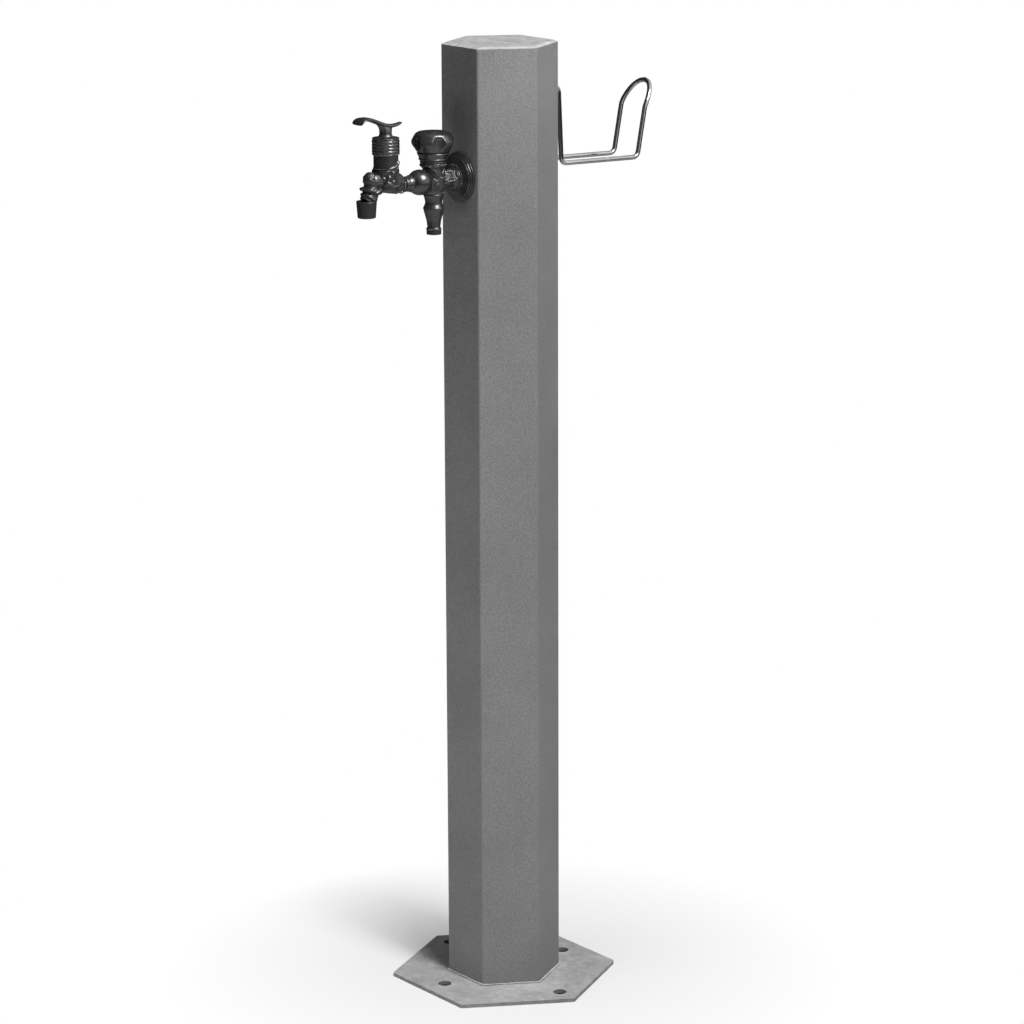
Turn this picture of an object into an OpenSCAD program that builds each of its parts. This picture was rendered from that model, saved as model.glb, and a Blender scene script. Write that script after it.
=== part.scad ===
// Garden standpipe: a hexagonal sheet-metal post on a base plate, with an ornamented double-outlet
// tap on one flat, a bent-wire hose holder on the opposite flat and the supply line inside the post.
// Origin at the centre of the base plate's underside, +Z up, the tap reaches towards -Y.

/* [Post] */
// Length of one side of the hexagonal post
post_side = 60; // [52:1:75]
// Height from the ground to the top of the cap
post_height = 1000; // [980:5:1200]
// Wall of the bent sheet
post_wall = 2; // [1.5:0.5:3]
// Outer radius of the post's bent edges
post_edge_r = 3; // [2.5:0.5:5]
// Thickness of the cap plate
cap_t = 3; // [3:0.5:5]
// Width of the cap's sloping rim
cap_bevel_w = 4; // [2:0.5:5]
// Height of the cap's sloping rim
cap_bevel_h = 1.8; // [1:0.2:2.4]

/* [Base plate] */
// Length of one side of the hexagonal base plate
plate_side = 120; // [115:1:150]
// Thickness of the base plate
plate_t = 4; // [3:0.5:8]
// Radius of the plate's corners
plate_corner_r = 4; // [1:0.5:10]
// Diameter of the four ground-fixing holes
fixing_hole_d = 14; // [9:0.5:15]
// Distance between the two fixing holes that lie along X
fixing_x = 191; // [180:1:200]
// Distance between the two fixing holes that lie along Y
fixing_y = 160; // [145:1:170]
// Diameter of the opening for the supply pipe
supply_hole_d = 50; // [40:1:60]
// Leg of the weld round the post's foot
weld_leg = 1.6; // [1:0.2:3]

/* [Supply line] */
// Outer diameter of the riser pipe
riser_d = 18; // [15:1:22]
// Wall of the riser pipe
riser_wall = 1; // [0.8:0.1:1.5]
// Outer diameter of a half-inch pipe thread
thread_half_d = 20.96; // [20.5:0.01:21.5]
// Diameter of the inlet fitting's shank in the bridge
shank_d = 24; // [22:0.5:28]
// Height of the bridge that carries the inlet above the plate
bridge_h = 34; // [30:1:60]

/* [Tap] */
// Distance from the top of the post down to the tap's inlet axis
tap_drop = 134; // [110:1:300]
// Distance from the post's face to the rear valve
rear_reach = 33.5; // [32:0.5:34.5]
// Distance from the post's face to the front valve
front_reach = 92.5; // [91.5:0.5:95]
// Distance from the post's face to the spout's mouth
spout_reach = 117; // [116:0.5:119]
// Diameter of the wall rosette
rosette_d = 51; // [46:1:60]
// Depth of the wall rosette
rosette_depth = 8.5; // [7:0.5:9.5]
// Diameter of the round bulb between the two valves
bulb_d = 26; // [24:0.5:28]
// Outer diameter of the front bonnet's ribbed drum
bonnet_d = 28; // [26:0.5:30]
// Number of ribs on the front bonnet
bonnet_ribs = 4; // [2:1:5]
// Height of the raised leaves
relief = 0.8; // [0.4:0.1:1.2]

/* [Handles] */
// Width of the rear knob
knob_d = 44; // [40:0.5:48]
// Number of grip hollows round the knob
knob_hollows = 5; // [4:1:8]
// Width of the lever's front paddle
paddle_w = 17; // [12:0.5:20]
// Lift of the rear valve's washer from closed to fully open
valve_lift = 6; // [4:0.5:6]

/* [Outlets] */
// Diameter of the spout nozzle at its top
nozzle_d = 21; // [20:0.1:22]
// Length of the spout nozzle
nozzle_l = 17; // [15:0.5:20]
// Diameter of the end ring of the rear outlet
tail_ring_d = 15; // [14:0.5:17]

/* [Hose holder] */
// Diameter of the holder's wire
wire_d = 5; // [4:0.5:6]
// Distance between the holder's two arms, wire centre to wire centre
arm_spacing = 38; // [32:1:44]
// Distance from the post's face to the foot of the uprights
arm_reach = 114.5; // [90:1:140]
// Distance from the top of the post down to the holder's fixing
holder_drop = 49; // [35:1:90]
// Height of the holder's leg, from its fixing down to the arms
leg_h = 80; // [60:1:90]
// Height of the uprights above the arms
upright_h = 53; // [40:1:70]
// Outward tilt of the uprights
upright_tilt = 11; // [0:1:15]
// Outward tilt of the arch that joins the uprights
arch_tilt = 34; // [20:1:45]

/* [Hidden] */
$fn = 72;
// Clearance of a shaft that turns or slides in its bore
running = 0.05;
// Clearance of a part that is screwed or pushed into its seat
seated = 0.03;
// Gap between faces that turn past each other
gap = 0.3;
face_y = post_side * cos(30);
tap_height = post_height - tap_drop;
holder_height = post_height - holder_drop;
inner_side = post_side - post_wall / cos(30);
inner_edge_r = post_edge_r - post_wall;
cap_skirt = 14;
thread_half_r = thread_half_d / 2;
rear_y = -(face_y + rear_reach);
front_y = -(face_y + front_reach);
spout_y = -(face_y + spout_reach);
gasket_t = 1;
tail_start_y = -(face_y + gasket_t + rosette_depth);
tail_r = 9;
tail_end_y = -(face_y - post_wall) + 28;
flow_r = 4.5;
elbow_r = 13;
elbow_leg = 28;
elbow_socket_y = -face_y + 18;
nut_t = 7;
rear_body_r = 11;
rear_body_top = 18;
rear_collar_r = rear_body_r + 2.4;
rear_body_foot = -13;
rear_seat = -6;
chamber_r = 8;
carrier_r = 6.4;
carrier_h = 16;
washer_t = 2.8;
closed_gap = 0.1;
leaf_root = 1.6;
carrier_floor = 1.5;
stem_r = 4;
guide_foot = 6;
guide_top = 22;
rear_groove_z = guide_top + 2;
rear_bonnet_top = 29;
rear_bonnet_r = rear_collar_r + 3.3;
knob_foot = rear_bonnet_top + gap + 0.4;
knob_top = 50;
front_body_r = 12.5;
front_body_top = 18;
front_body_foot = -6;
disc_r = 7.5;
disc_t = 2.8;
disc_z = 4.5;
cartridge_r = 8.6;
front_bore_r = 10.4;
bonnet_h = 30;
cap_cone_h = 5;
lever_foot = front_body_top + bonnet_h + cap_cone_h + gap;
lever_neck_r = 6.3;
lever_neck_h = 5.5;
spout_bend_r = 12;
spout_r = 8.3;
spout_bore_r = 5.2;
spigot_r = 7;
spigot_l = 7.5;
seal_z = disc_z - 1.5;
cartridge_top = front_body_top + bonnet_h - 2;
cartridge_neck_r = 6.5;
front_groove_z = cartridge_top - 8;
ring_groove_h = 2;
ring_groove_r = stem_r + 2;
well_z = -4.2;
well_r = 5.4;
screw_r = 2;
cone_tilt = 70;
bulb_y = rear_y - 17.5;
link_r = 6;
link_spigot_r = 5.5;
link_end_y = front_y + front_body_r + 6;
leg_offset = 9;
leg_lean = 3.8;
arm_drop = 3.3;
wire_bend_r = 7;
wire_tail = 12;
arch_bend_r = 36;
arch_neck = arch_bend_r * tan((arch_tilt - upright_tilt) / 2) + 1.7;
bridge_span = 76;
bridge_w = 30;
bridge_t = 3;
inlet_thread_l = 15;
half_inch_hex = 27;
shank_hex = shank_d + 8;
inlet_hex_h = 9;
pipe_socket = 13;
backnut_washer_t = 1.5;
outlet_spigot_r = 7;
outlet_spigot_l = 4.2;
knob_bore_depth = 10;
knob_screw_seat = 4.5;
knob_cap_r = 7;
knob_cap_t = 1.8;
lever_screw_seat = 1.6;
mesh_t = 1.2;

// Hexagon with its flats towards +Y and -Y and with rounded corners
module rounded_hexagon(side, r) {
  core = side - 2 * r / sqrt(3);
  points = [for (a = [0:60:300]) for (s = [-1, 1])
    [core * cos(a) + r * cos(a + 30 * s), core * sin(a) + r * sin(a + 30 * s)]];
  polygon(points);
  for (a = [0:60:300])
    rotate(a)
      translate([core, 0])
        circle(r);
}

// Blocks above the slopes along the six upper edges of a hexagonal plate of height h
module hexagon_bevel(side, h, w, drop) {
  for (a = [0:60:300])
    rotate(a)
      translate([0, side * cos(30), h - drop])
        rotate([-atan2(drop, w), 0, 0])
          translate([-side, -side, 0])
            cube([2 * side, 2 * side, side]);
}

// Turns a profile of [radius, height] points about Z
module turned(points) {
  rotate_extrude()
    polygon(points);
}

// Puts what stands along +Z at the post's tap height so that it points towards -Y from the plane y
module towards_tap(y) {
  translate([0, y, tap_height])
    rotate([90, 0, 0])
      children();
}

// Moves to the tap's axis height at the distance y from the post's centre
module on_tap(y) {
  translate([0, y, tap_height])
    children();
}

// Six-sided nut blank with the width w across its flats
module hex_blank(w, h) {
  cylinder(d = w / cos(30), h = h, $fn = 6);
}

// Pointed leaf of length l along +Y with n lobes on each edge
function leaf_edge(l, w, n, side) = [for (i = [0:16])
  let (t = i / 16)
  [side * (w / 2) * pow(sin(180 * t), 0.8) * (1 + 0.16 * sin(360 * n * t)), l * t]];

module leaf(l, w, n = 2) {
  right = leaf_edge(l, w, n, 1);
  left = leaf_edge(l, w, n, -1);
  rib = 0.9;
  difference() {
    polygon(concat(right, [for (i = [15:-1:1]) left[i]]));
    translate([-rib / 2, l * 0.12])
      square([rib, l * 0.6]);
  }
}

// Raised leaves on a drum of radius r about Z, rooted at height z, at the given directions
module drum_leaves(r, z, l, w, directions, n = 2) {
  for (a = directions)
    intersection() {
      translate([0, 0, z - 2])
        cylinder(r = r + relief, h = l + 4);
      rotate([0, 0, a])
        translate([r - leaf_root, 0, z])
          rotate([90, 0, 90])
            linear_extrude(leaf_root + 4)
              leaf(l, w, n);
    }
}

module base_plate() {
  color([0.64, 0.65, 0.65])
    difference() {
      linear_extrude(plate_t)
        rounded_hexagon(plate_side, plate_corner_r);
      for (s = [-1, 1]) {
        translate([s * fixing_x / 2, 0, -1])
          cylinder(d = fixing_hole_d, h = plate_t + 2);
        translate([0, s * fixing_y / 2, -1])
          cylinder(d = fixing_hole_d, h = plate_t + 2);
      }
      translate([0, 0, -1])
        cylinder(d = supply_hole_d, h = plate_t + 2);
    }
}

module post_tube() {
  color([0.42, 0.43, 0.44])
    difference() {
      translate([0, 0, plate_t])
        linear_extrude(post_height - cap_t - plate_t)
          difference() {
            rounded_hexagon(post_side, post_edge_r);
            rounded_hexagon(inner_side, inner_edge_r);
          }
      towards_tap(-face_y + post_wall + 1)
        cylinder(r = thread_half_r + gap, h = post_wall + 2);
      for (s = [-1, 1])
        translate([s * arm_spacing / 2, face_y + 1, holder_height])
          rotate([90, 0, 0])
            cylinder(d = wire_d + 2 * gap, h = post_wall + 2);
    }
}

module foot_weld() {
  side = post_side + weld_leg / cos(30);
  color([0.72, 0.73, 0.74])
    translate([0, 0, plate_t])
      difference() {
        linear_extrude(weld_leg)
          difference() {
            rounded_hexagon(side, post_edge_r + weld_leg);
            rounded_hexagon(post_side, post_edge_r);
          }
        hexagon_bevel(side, weld_leg, weld_leg * 0.7, weld_leg * 0.7);
      }
}

module top_cap() {
  skirt_side = inner_side - gap / cos(30);
  skirt_r = max(inner_edge_r - gap, 0.5);
  skirt_wall = 2;
  color([0.68, 0.69, 0.7])
    translate([0, 0, post_height - cap_t]) {
      difference() {
        linear_extrude(cap_t)
          rounded_hexagon(post_side, post_edge_r);
        hexagon_bevel(post_side, cap_t, cap_bevel_w, cap_bevel_h);
      }
      translate([0, 0, -cap_skirt])
        linear_extrude(cap_skirt)
          difference() {
            rounded_hexagon(skirt_side, skirt_r);
            rounded_hexagon(skirt_side - skirt_wall / cos(30), skirt_r);
          }
    }
}

module foot_bridge() {
  color([0.7, 0.7, 0.72])
    difference() {
      translate([0, bridge_w / 2, plate_t])
        rotate([90, 0, 0])
          linear_extrude(bridge_w)
            difference() {
              translate([-bridge_span / 2, 0])
                square([bridge_span, bridge_h]);
              translate([-bridge_span / 2 + bridge_t, -1])
                square([bridge_span - 2 * bridge_t, bridge_h - bridge_t + 1]);
            }
      cylinder(d = shank_d + 2 * running, h = plate_t + bridge_h + 1);
    }
}

module inlet_fitting() {
  deck = plate_t + bridge_h;
  color([0.75, 0.62, 0.3])
    difference() {
      union() {
        translate([0, 0, deck - bridge_t - nut_t - inlet_thread_l])
          cylinder(r = thread_half_r, h = inlet_thread_l + 1);
        translate([0, 0, deck - bridge_t - nut_t])
          cylinder(d = shank_d, h = nut_t + bridge_t + 1);
        translate([0, 0, deck])
          hex_blank(shank_hex, inlet_hex_h);
        translate([0, 0, deck + inlet_hex_h])
          cylinder(d = riser_d + 5, h = pipe_socket);
      }
      cylinder(d = riser_d - 2 * riser_wall, h = deck + inlet_hex_h + pipe_socket);
      translate([0, 0, deck + inlet_hex_h])
        cylinder(d = riser_d + 2 * seated, h = pipe_socket + 1);
    }
}

module inlet_locknut() {
  color([0.75, 0.62, 0.3])
    translate([0, 0, plate_t + bridge_h - bridge_t - nut_t])
      difference() {
        hex_blank(shank_hex, nut_t);
        translate([0, 0, -1])
          cylinder(d = shank_d + 2 * seated, h = nut_t + 2);
      }
}

module riser_pipe() {
  foot = plate_t + bridge_h + inlet_hex_h;
  head = tap_height - elbow_leg + pipe_socket;
  color([0.8, 0.8, 0.8])
    translate([0, 0, foot])
      difference() {
        cylinder(d = riser_d, h = head - foot);
        translate([0, 0, -1])
          cylinder(d = riser_d - 2 * riser_wall, h = head - foot + 2);
      }
}

module elbow_fitting() {
  socket_l = tail_end_y - elbow_socket_y;
  color([0.75, 0.62, 0.3])
    on_tap(0)
      difference() {
        union() {
          sphere(r = elbow_r);
          translate([0, 0, -elbow_leg])
            cylinder(r = elbow_r - 1, h = elbow_leg);
          translate([0, elbow_socket_y, 0])
            rotate([-90, 0, 0])
              cylinder(r = elbow_r, h = -elbow_socket_y);
        }
        translate([0, 0, -elbow_leg - 1])
          cylinder(d = riser_d + 2 * seated, h = pipe_socket + 1);
        translate([0, 0, -elbow_leg])
          cylinder(d = riser_d - 2 * riser_wall, h = elbow_leg);
        translate([0, elbow_socket_y - 1, 0])
          rotate([-90, 0, 0])
            cylinder(d = riser_d - 2 * riser_wall, h = -elbow_socket_y + 1);
        translate([0, elbow_socket_y - 1, 0])
          rotate([-90, 0, 0])
            cylinder(r = thread_half_r + seated, h = socket_l + 1);
      }
}

module backnut_washer() {
  color([0.7, 0.7, 0.72])
    towards_tap(-face_y + post_wall + backnut_washer_t)
      difference() {
        cylinder(r = 16, h = backnut_washer_t);
        translate([0, 0, -1])
          cylinder(r = thread_half_r + gap, h = backnut_washer_t + 2);
      }
}

module tap_backnut() {
  color([0.75, 0.62, 0.3])
    towards_tap(-face_y + post_wall + backnut_washer_t + nut_t)
      difference() {
        hex_blank(half_inch_hex, nut_t);
        translate([0, 0, -1])
          cylinder(r = thread_half_r + seated, h = nut_t + 2);
      }
}

module wall_gasket() {
  color([0.12, 0.12, 0.12])
    towards_tap(-face_y)
      difference() {
        cylinder(d = rosette_d - 1, h = gasket_t);
        translate([0, 0, -1])
          cylinder(r = thread_half_r + gap, h = gasket_t + 2);
      }
}

module wall_rosette() {
  r = rosette_d / 2;
  d = rosette_depth;
  hub_r = tail_r + 3.2;
  color([0.13, 0.13, 0.14])
    towards_tap(-face_y - gasket_t)
      turned([[thread_half_r + seated, 0], [r, 0], [r, 1.1], [r - 0.6, 1.7], [r - 1.9, 1.9], [r - 2.1, 2.9],
        [r - 3.9, 3.2], [r - 4.2, 4.1], [r - 6.4, 4.7], [r - 9, 5.6], [hub_r + 0.8, d - 1.5],
        [hub_r, d - 0.8], [hub_r, d], [thread_half_r + seated, d]]);
}

module rear_body() {
  tube_l = tail_start_y - rear_y;
  color([0.1, 0.1, 0.11])
    difference() {
      union() {
        towards_tap(tail_end_y)
          cylinder(r = thread_half_r, h = tail_end_y - tail_start_y);
        towards_tap(tail_start_y)
          cylinder(r = tail_r, h = tube_l);
        towards_tap(tail_start_y)
          cylinder(r1 = tail_r + 2.2, r2 = tail_r, h = 3);
        towards_tap(tail_start_y)
          drum_leaves(tail_r, 1.5, tube_l - 11, 7.2, [30:60:330], 1);
        on_tap(rear_y)
          translate([0, 0, rear_body_foot])
            cylinder(r = rear_body_r - 0.7, h = rear_body_top - rear_body_foot);
        on_tap(rear_y)
          turned([[0, -11], [rear_body_r - 0.7, -11], [rear_body_r, -9], [rear_body_r, 13],
            [rear_collar_r - 0.2, 15.6], [rear_collar_r, rear_body_top], [0, rear_body_top]]);
        on_tap(rear_y)
          drum_leaves(rear_body_r, -8, 20, 9, [-60, -15, 30, 150, 195, 240]);
      }
      towards_tap(tail_end_y + 1)
        cylinder(r = 6.5, h = tail_end_y - rear_y - chamber_r + 3);
      towards_tap(rear_y)
        cylinder(r = flow_r, h = rear_body_r + 2);
      towards_tap(rear_y - chamber_r - 0.5)
        cylinder(r = link_spigot_r + seated, h = 6);
      on_tap(rear_y)
        translate([0, 0, rear_seat])
          cylinder(r = chamber_r, h = 40);
      on_tap(rear_y)
        translate([0, 0, rear_body_foot - 1])
          cylinder(r = 5, h = 20);
      on_tap(rear_y)
        translate([0, 0, rear_body_foot - 1])
          cylinder(r = outlet_spigot_r + seated, h = outlet_spigot_l + 1.3);
    }
}

module rear_bonnet() {
  top = rear_bonnet_top;
  base = rear_body_top;
  color([0.11, 0.11, 0.12])
    on_tap(rear_y)
      difference() {
        turned([[0, guide_foot], [chamber_r - seated, guide_foot], [chamber_r - seated, base],
          [rear_collar_r - 0.6, base], [rear_collar_r, base + 0.7], [rear_collar_r + 0.2, base + 3],
          [rear_collar_r + 1, base + 3.7], [rear_collar_r + 1.2, base + 4.6],
          [rear_collar_r + 0.9, base + 5.4], [rear_collar_r + 1.6, base + 7],
          [rear_bonnet_r - 0.5, top - 1.6], [rear_bonnet_r, top - 0.7], [rear_bonnet_r - 0.4, top],
          [0, top]]);
        translate([0, 0, guide_foot - 1])
          cylinder(r = carrier_r + running, h = guide_top - guide_foot + 1);
        cylinder(r = stem_r + running, h = top + 1);
        translate([0, 0, rear_groove_z])
          ring_groove();
      }
}

// Groove for the ring that seals a stem, from z = 0 up
module ring_groove() {
  cylinder(r = ring_groove_r, h = ring_groove_h);
}

// Ring that seals a stem, in the middle of its groove
module stem_ring() {
  wire_r = (ring_groove_r - stem_r - 3 * running) / 2;
  translate([0, 0, ring_groove_h / 2])
    rotate_extrude()
      translate([stem_r + running + wire_r, 0])
        circle(r = wire_r);
}

module rear_o_ring() {
  color([0.1, 0.1, 0.1])
    on_tap(rear_y)
      translate([0, 0, rear_groove_z])
        stem_ring();
}

module rear_stem() {
  foot = rear_seat + washer_t + closed_gap + carrier_floor + valve_lift + 0.5;
  collar_top = guide_top - 0.2;
  top = knob_top - knob_bore_depth;
  color([0.75, 0.62, 0.3])
    on_tap(rear_y)
      difference() {
        union() {
          translate([0, 0, foot])
            cylinder(r = stem_r, h = top - foot);
          translate([0, 0, collar_top - 1.8])
            cylinder(r = carrier_r - 0.2, h = 1.8);
        }
        translate([0, 0, top - 7])
          cylinder(r = screw_r + seated, h = 8);
      }
}

module rear_carrier() {
  foot = rear_seat + washer_t + closed_gap;
  color([0.75, 0.62, 0.3])
    on_tap(rear_y)
      translate([0, 0, foot])
        difference() {
          cylinder(r = carrier_r, h = carrier_h);
          translate([0, 0, carrier_floor])
            cylinder(r = stem_r + running, h = carrier_h);
        }
}

module rear_washer() {
  color([0.1, 0.1, 0.1])
    on_tap(rear_y)
      translate([0, 0, rear_seat + closed_gap])
        cylinder(r = carrier_r - 0.1, h = washer_t);
}

module rear_knob() {
  r = knob_d / 2;
  foot = knob_foot;
  top = knob_top;
  swell = r - rear_bonnet_r;
  wide = top - 8.5;
  hollow_r = 9;
  color([0.1, 0.1, 0.11])
    on_tap(rear_y)
      difference() {
        turned([[0, foot], [rear_bonnet_r - 0.3, foot], [rear_bonnet_r + 0.4, foot + 0.7],
          [rear_bonnet_r + 0.38 * swell, foot + 3.3], [rear_bonnet_r + 0.65 * swell, foot + 5.3],
          [rear_bonnet_r + 0.9 * swell, foot + 7.3], [r, wide - 2.8], [r, wide],
          [r - 0.8, wide + 1.2], [r - 1.8, wide + 2.3], [r - 2, wide + 4], [r - 2.6, top - 3],
          [r - 3.9, top - 1.5], [r - 5.8, top - 0.5], [11, top], [7.6, top - 0.6], [0, top - 0.6]]);
        for (a = [0:360 / knob_hollows:359])
          rotate([0, 0, a + 52])
            translate([r + hollow_r - 4.2, 0, wide - 10])
              cylinder(r = hollow_r, h = 40);
        translate([0, 0, foot - 1])
          cylinder(r = stem_r + seated, h = top - knob_bore_depth - foot + 1);
        translate([0, 0, foot])
          cylinder(r = screw_r + seated, h = top);
        translate([0, 0, top - knob_screw_seat])
          cylinder(r = 4, h = 10);
        translate([0, 0, top - knob_cap_t])
          cylinder(r = knob_cap_r, h = 10);
      }
}

module knob_screw() {
  color([0.75, 0.75, 0.76])
    on_tap(rear_y) {
      translate([0, 0, knob_top - knob_bore_depth - 6])
        cylinder(r = screw_r, h = knob_bore_depth + 6.5 - knob_screw_seat);
      translate([0, 0, knob_top - knob_screw_seat])
        difference() {
          cylinder(r = 3.5, h = 2.4);
          translate([0, 0, 1.2])
            cylinder(d = 3, h = 2, $fn = 6);
        }
    }
}

module knob_cap() {
  color([0.1, 0.1, 0.11])
    on_tap(rear_y)
      translate([0, 0, knob_top - knob_cap_t])
        turned([[0, 0], [knob_cap_r - seated, 0], [knob_cap_r - seated, knob_cap_t - 0.6],
          [knob_cap_r - 1, knob_cap_t - 0.1], [0, knob_cap_t]]);
}

module rear_outlet() {
  base = rear_body_foot;
  ring_r = tail_ring_d / 2;
  outlet_l = 41.5;
  color([0.11, 0.11, 0.12])
    on_tap(rear_y)
      difference() {
        turned([[0, base + outlet_spigot_l], [outlet_spigot_r, base + outlet_spigot_l],
          [outlet_spigot_r, base], [10.25, base], [10.25, base - 2], [9.4, base - 4.5], [8.7, base - 8],
          [8.9, base - 10.5], [10.1, base - 13], [10.5, base - 15], [10.2, base - 17.2], [9.2, base - 20],
          [7.9, base - 24], [6.9, base - 28], [6.6, base - 31.5], [6.7, base - 34.3],
          [ring_r - 0.4, base - 34.7], [ring_r, base - 35.1], [ring_r, base - outlet_l],
          [0, base - outlet_l]]);
        translate([0, 0, base - outlet_l - 1])
          cylinder(r = flow_r, h = outlet_l + outlet_spigot_l + 2);
      }
}

// Ball about the origin, turned about Z
module ball(d) {
  rotate_extrude()
    intersection() {
      circle(d = d);
      translate([0, -d])
        square([d, 2 * d]);
    }
}

module link_bulb() {
  color([0.1, 0.1, 0.11])
    difference() {
      union() {
        difference() {
          towards_tap(bulb_y)
            ball(bulb_d);
          on_tap(rear_y)
            translate([0, 0, -30])
              cylinder(r = rear_body_r + relief, h = 60);
        }
        towards_tap(rear_y - chamber_r - 0.5)
          cylinder(r = link_spigot_r, h = 8);
        towards_tap(bulb_y)
          cylinder(r = link_r, h = bulb_y - link_end_y + 6);
        towards_tap(bulb_y - bulb_d / 2 + 0.5)
          cylinder(r1 = link_r + 2, r2 = link_r, h = 3);
      }
      towards_tap(rear_y)
        cylinder(r = flow_r - 0.5, h = 60);
    }
}

// Quarter bend of the spout, filled with a bar of radius r
module spout_bend(r) {
  on_tap(spout_y + spout_bend_r)
    translate([0, 0, -spout_bend_r])
      rotate([90, 0, 90])
        rotate([0, 0, 90])
          rotate_extrude(angle = 90)
            translate([spout_bend_r, 0])
              circle(r = r);
}

module spout_elbow() {
  towards_tap(front_y)
    cylinder(r = spout_r, h = front_y - spout_y - spout_bend_r);
  spout_bend(spout_r);
  for (a = [24, 50, 76])
    on_tap(spout_y + spout_bend_r * (1 - sin(a)))
      translate([0, 0, spout_bend_r * (cos(a) - 1)])
        rotate([90 + a, 0, 0])
          rotate_extrude()
            translate([spout_r - 0.2, 0])
              circle(r = 1.1);
  on_tap(spout_y)
    translate([0, 0, -spout_bend_r - spigot_l])
      cylinder(r = spigot_r, h = spigot_l + 1);
}

module front_body() {
  foot = front_body_foot;
  r = front_body_r;
  cone_l = 17;
  color([0.1, 0.1, 0.11])
    difference() {
      union() {
        on_tap(front_y)
          turned([[0, foot], [r - 3, foot], [r - 1.4, foot + 0.6], [r - 0.4, foot + 1.8], [r, foot + 3.4],
            [r, front_body_top - 1], [r - 0.6, front_body_top], [0, front_body_top]]);
        on_tap(link_end_y - 1)
          rotate([cone_tilt, 0, 0]) {
            cylinder(r1 = link_r + 1.6, r2 = r - 0.6, h = cone_l);
            for (a = [-55, 0, 180, 235])
              intersection() {
                cylinder(r1 = link_r + 1.6 + relief, r2 = r - 0.6 + relief, h = cone_l);
                rotate([0, 0, a])
                  translate([link_r - leaf_root, 0, 1])
                    rotate([90, 0, 90])
                      linear_extrude(r)
                        leaf(cone_l - 3, 8);
              }
          }
        spout_elbow();
        on_tap(front_y - front_body_r - 6)
          translate([0, 0, 6])
            ball(2 * spout_r + 0.4);
        on_tap(front_y)
          drum_leaves(r, foot + 1, 20, 11, [-45, 0, 45, 135, 180, 225]);
      }
      on_tap(front_y)
        translate([0, 0, seal_z])
          cylinder(r = front_bore_r, h = 40);
      on_tap(front_y)
        translate([0, 0, well_z])
          cylinder(r = well_r, h = 20);
      towards_tap(link_end_y + 3)
        cylinder(r = link_r + seated, h = 9);
      towards_tap(link_end_y)
        cylinder(r = flow_r - 0.5, h = link_end_y - front_y);
      towards_tap(front_y - cartridge_r - 0.4)
        cylinder(r = spout_bore_r, h = front_y - cartridge_r - 0.4 - spout_y - spout_bend_r);
      spout_bend(spout_bore_r);
      on_tap(spout_y)
        translate([0, 0, -spout_bend_r - spigot_l - 1])
          cylinder(r = spout_bore_r, h = spigot_l + 1);
    }
}

module front_seal() {
  color([0.1, 0.1, 0.1])
    on_tap(front_y)
      translate([0, 0, seal_z])
        difference() {
          cylinder(r = disc_r - 0.2, h = disc_z - seal_z);
          translate([0, 0, -1])
            cylinder(r = well_r, h = 4);
        }
}

// Ceramic disc with two opposite quarter-circle ports
module ported_disc(r) {
  difference() {
    cylinder(r = r, h = disc_t);
    for (a = [0, 180])
      rotate([0, 0, a])
        translate([0, 0, -1])
          intersection() {
            cylinder(r = r - 2.4, h = disc_t + 2);
            translate([0.5, 0.5, 0])
              cube([r, r, disc_t + 2]);
          }
  }
}

module fixed_disc() {
  color([0.92, 0.92, 0.9])
    on_tap(front_y)
      translate([0, 0, disc_z])
        ported_disc(disc_r);
}

module turning_disc() {
  color([0.92, 0.92, 0.9])
    on_tap(front_y)
      translate([0, 0, disc_z + disc_t + running])
        rotate([0, 0, 90])
          ported_disc(disc_r - 0.1);
}

module front_cartridge() {
  shell_top = disc_z + 2 * disc_t + 2.5;
  window_h = 3;
  color([0.75, 0.62, 0.3])
    on_tap(front_y)
      difference() {
        turned([[0, disc_z - 0.5], [cartridge_r, disc_z - 0.5], [cartridge_r, shell_top + 0.5],
          [front_bore_r - seated, shell_top + 1.5], [front_bore_r - seated, front_body_top + 6],
          [cartridge_neck_r, front_body_top + 7], [cartridge_neck_r, cartridge_top],
          [0, cartridge_top]]);
        translate([0, 0, disc_z - 1])
          cylinder(r = disc_r + seated, h = shell_top - disc_z + 1);
        cylinder(r = stem_r + running, h = cartridge_top + 1);
        translate([0, 0, front_groove_z])
          ring_groove();
        for (a = [-90, 30, 150])
          rotate([0, 0, a])
            translate([disc_r - 2, -3.5, shell_top - window_h])
              cube([4, 7, window_h - 0.4]);
      }
}

module front_o_ring() {
  color([0.1, 0.1, 0.1])
    on_tap(front_y)
      translate([0, 0, front_groove_z])
        stem_ring();
}

module front_stem() {
  foot = disc_z + 2 * disc_t + 2 * running;
  top = lever_foot + lever_neck_h - 1;
  color([0.75, 0.62, 0.3])
    on_tap(front_y)
      difference() {
        union() {
          translate([0, 0, foot])
            cylinder(r = disc_r - 1.3, h = 1.9);
          translate([0, 0, foot])
            cylinder(r = stem_r, h = top - foot);
        }
        translate([0, 0, top - 7])
          cylinder(r = screw_r + seated, h = 8);
      }
}

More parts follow.
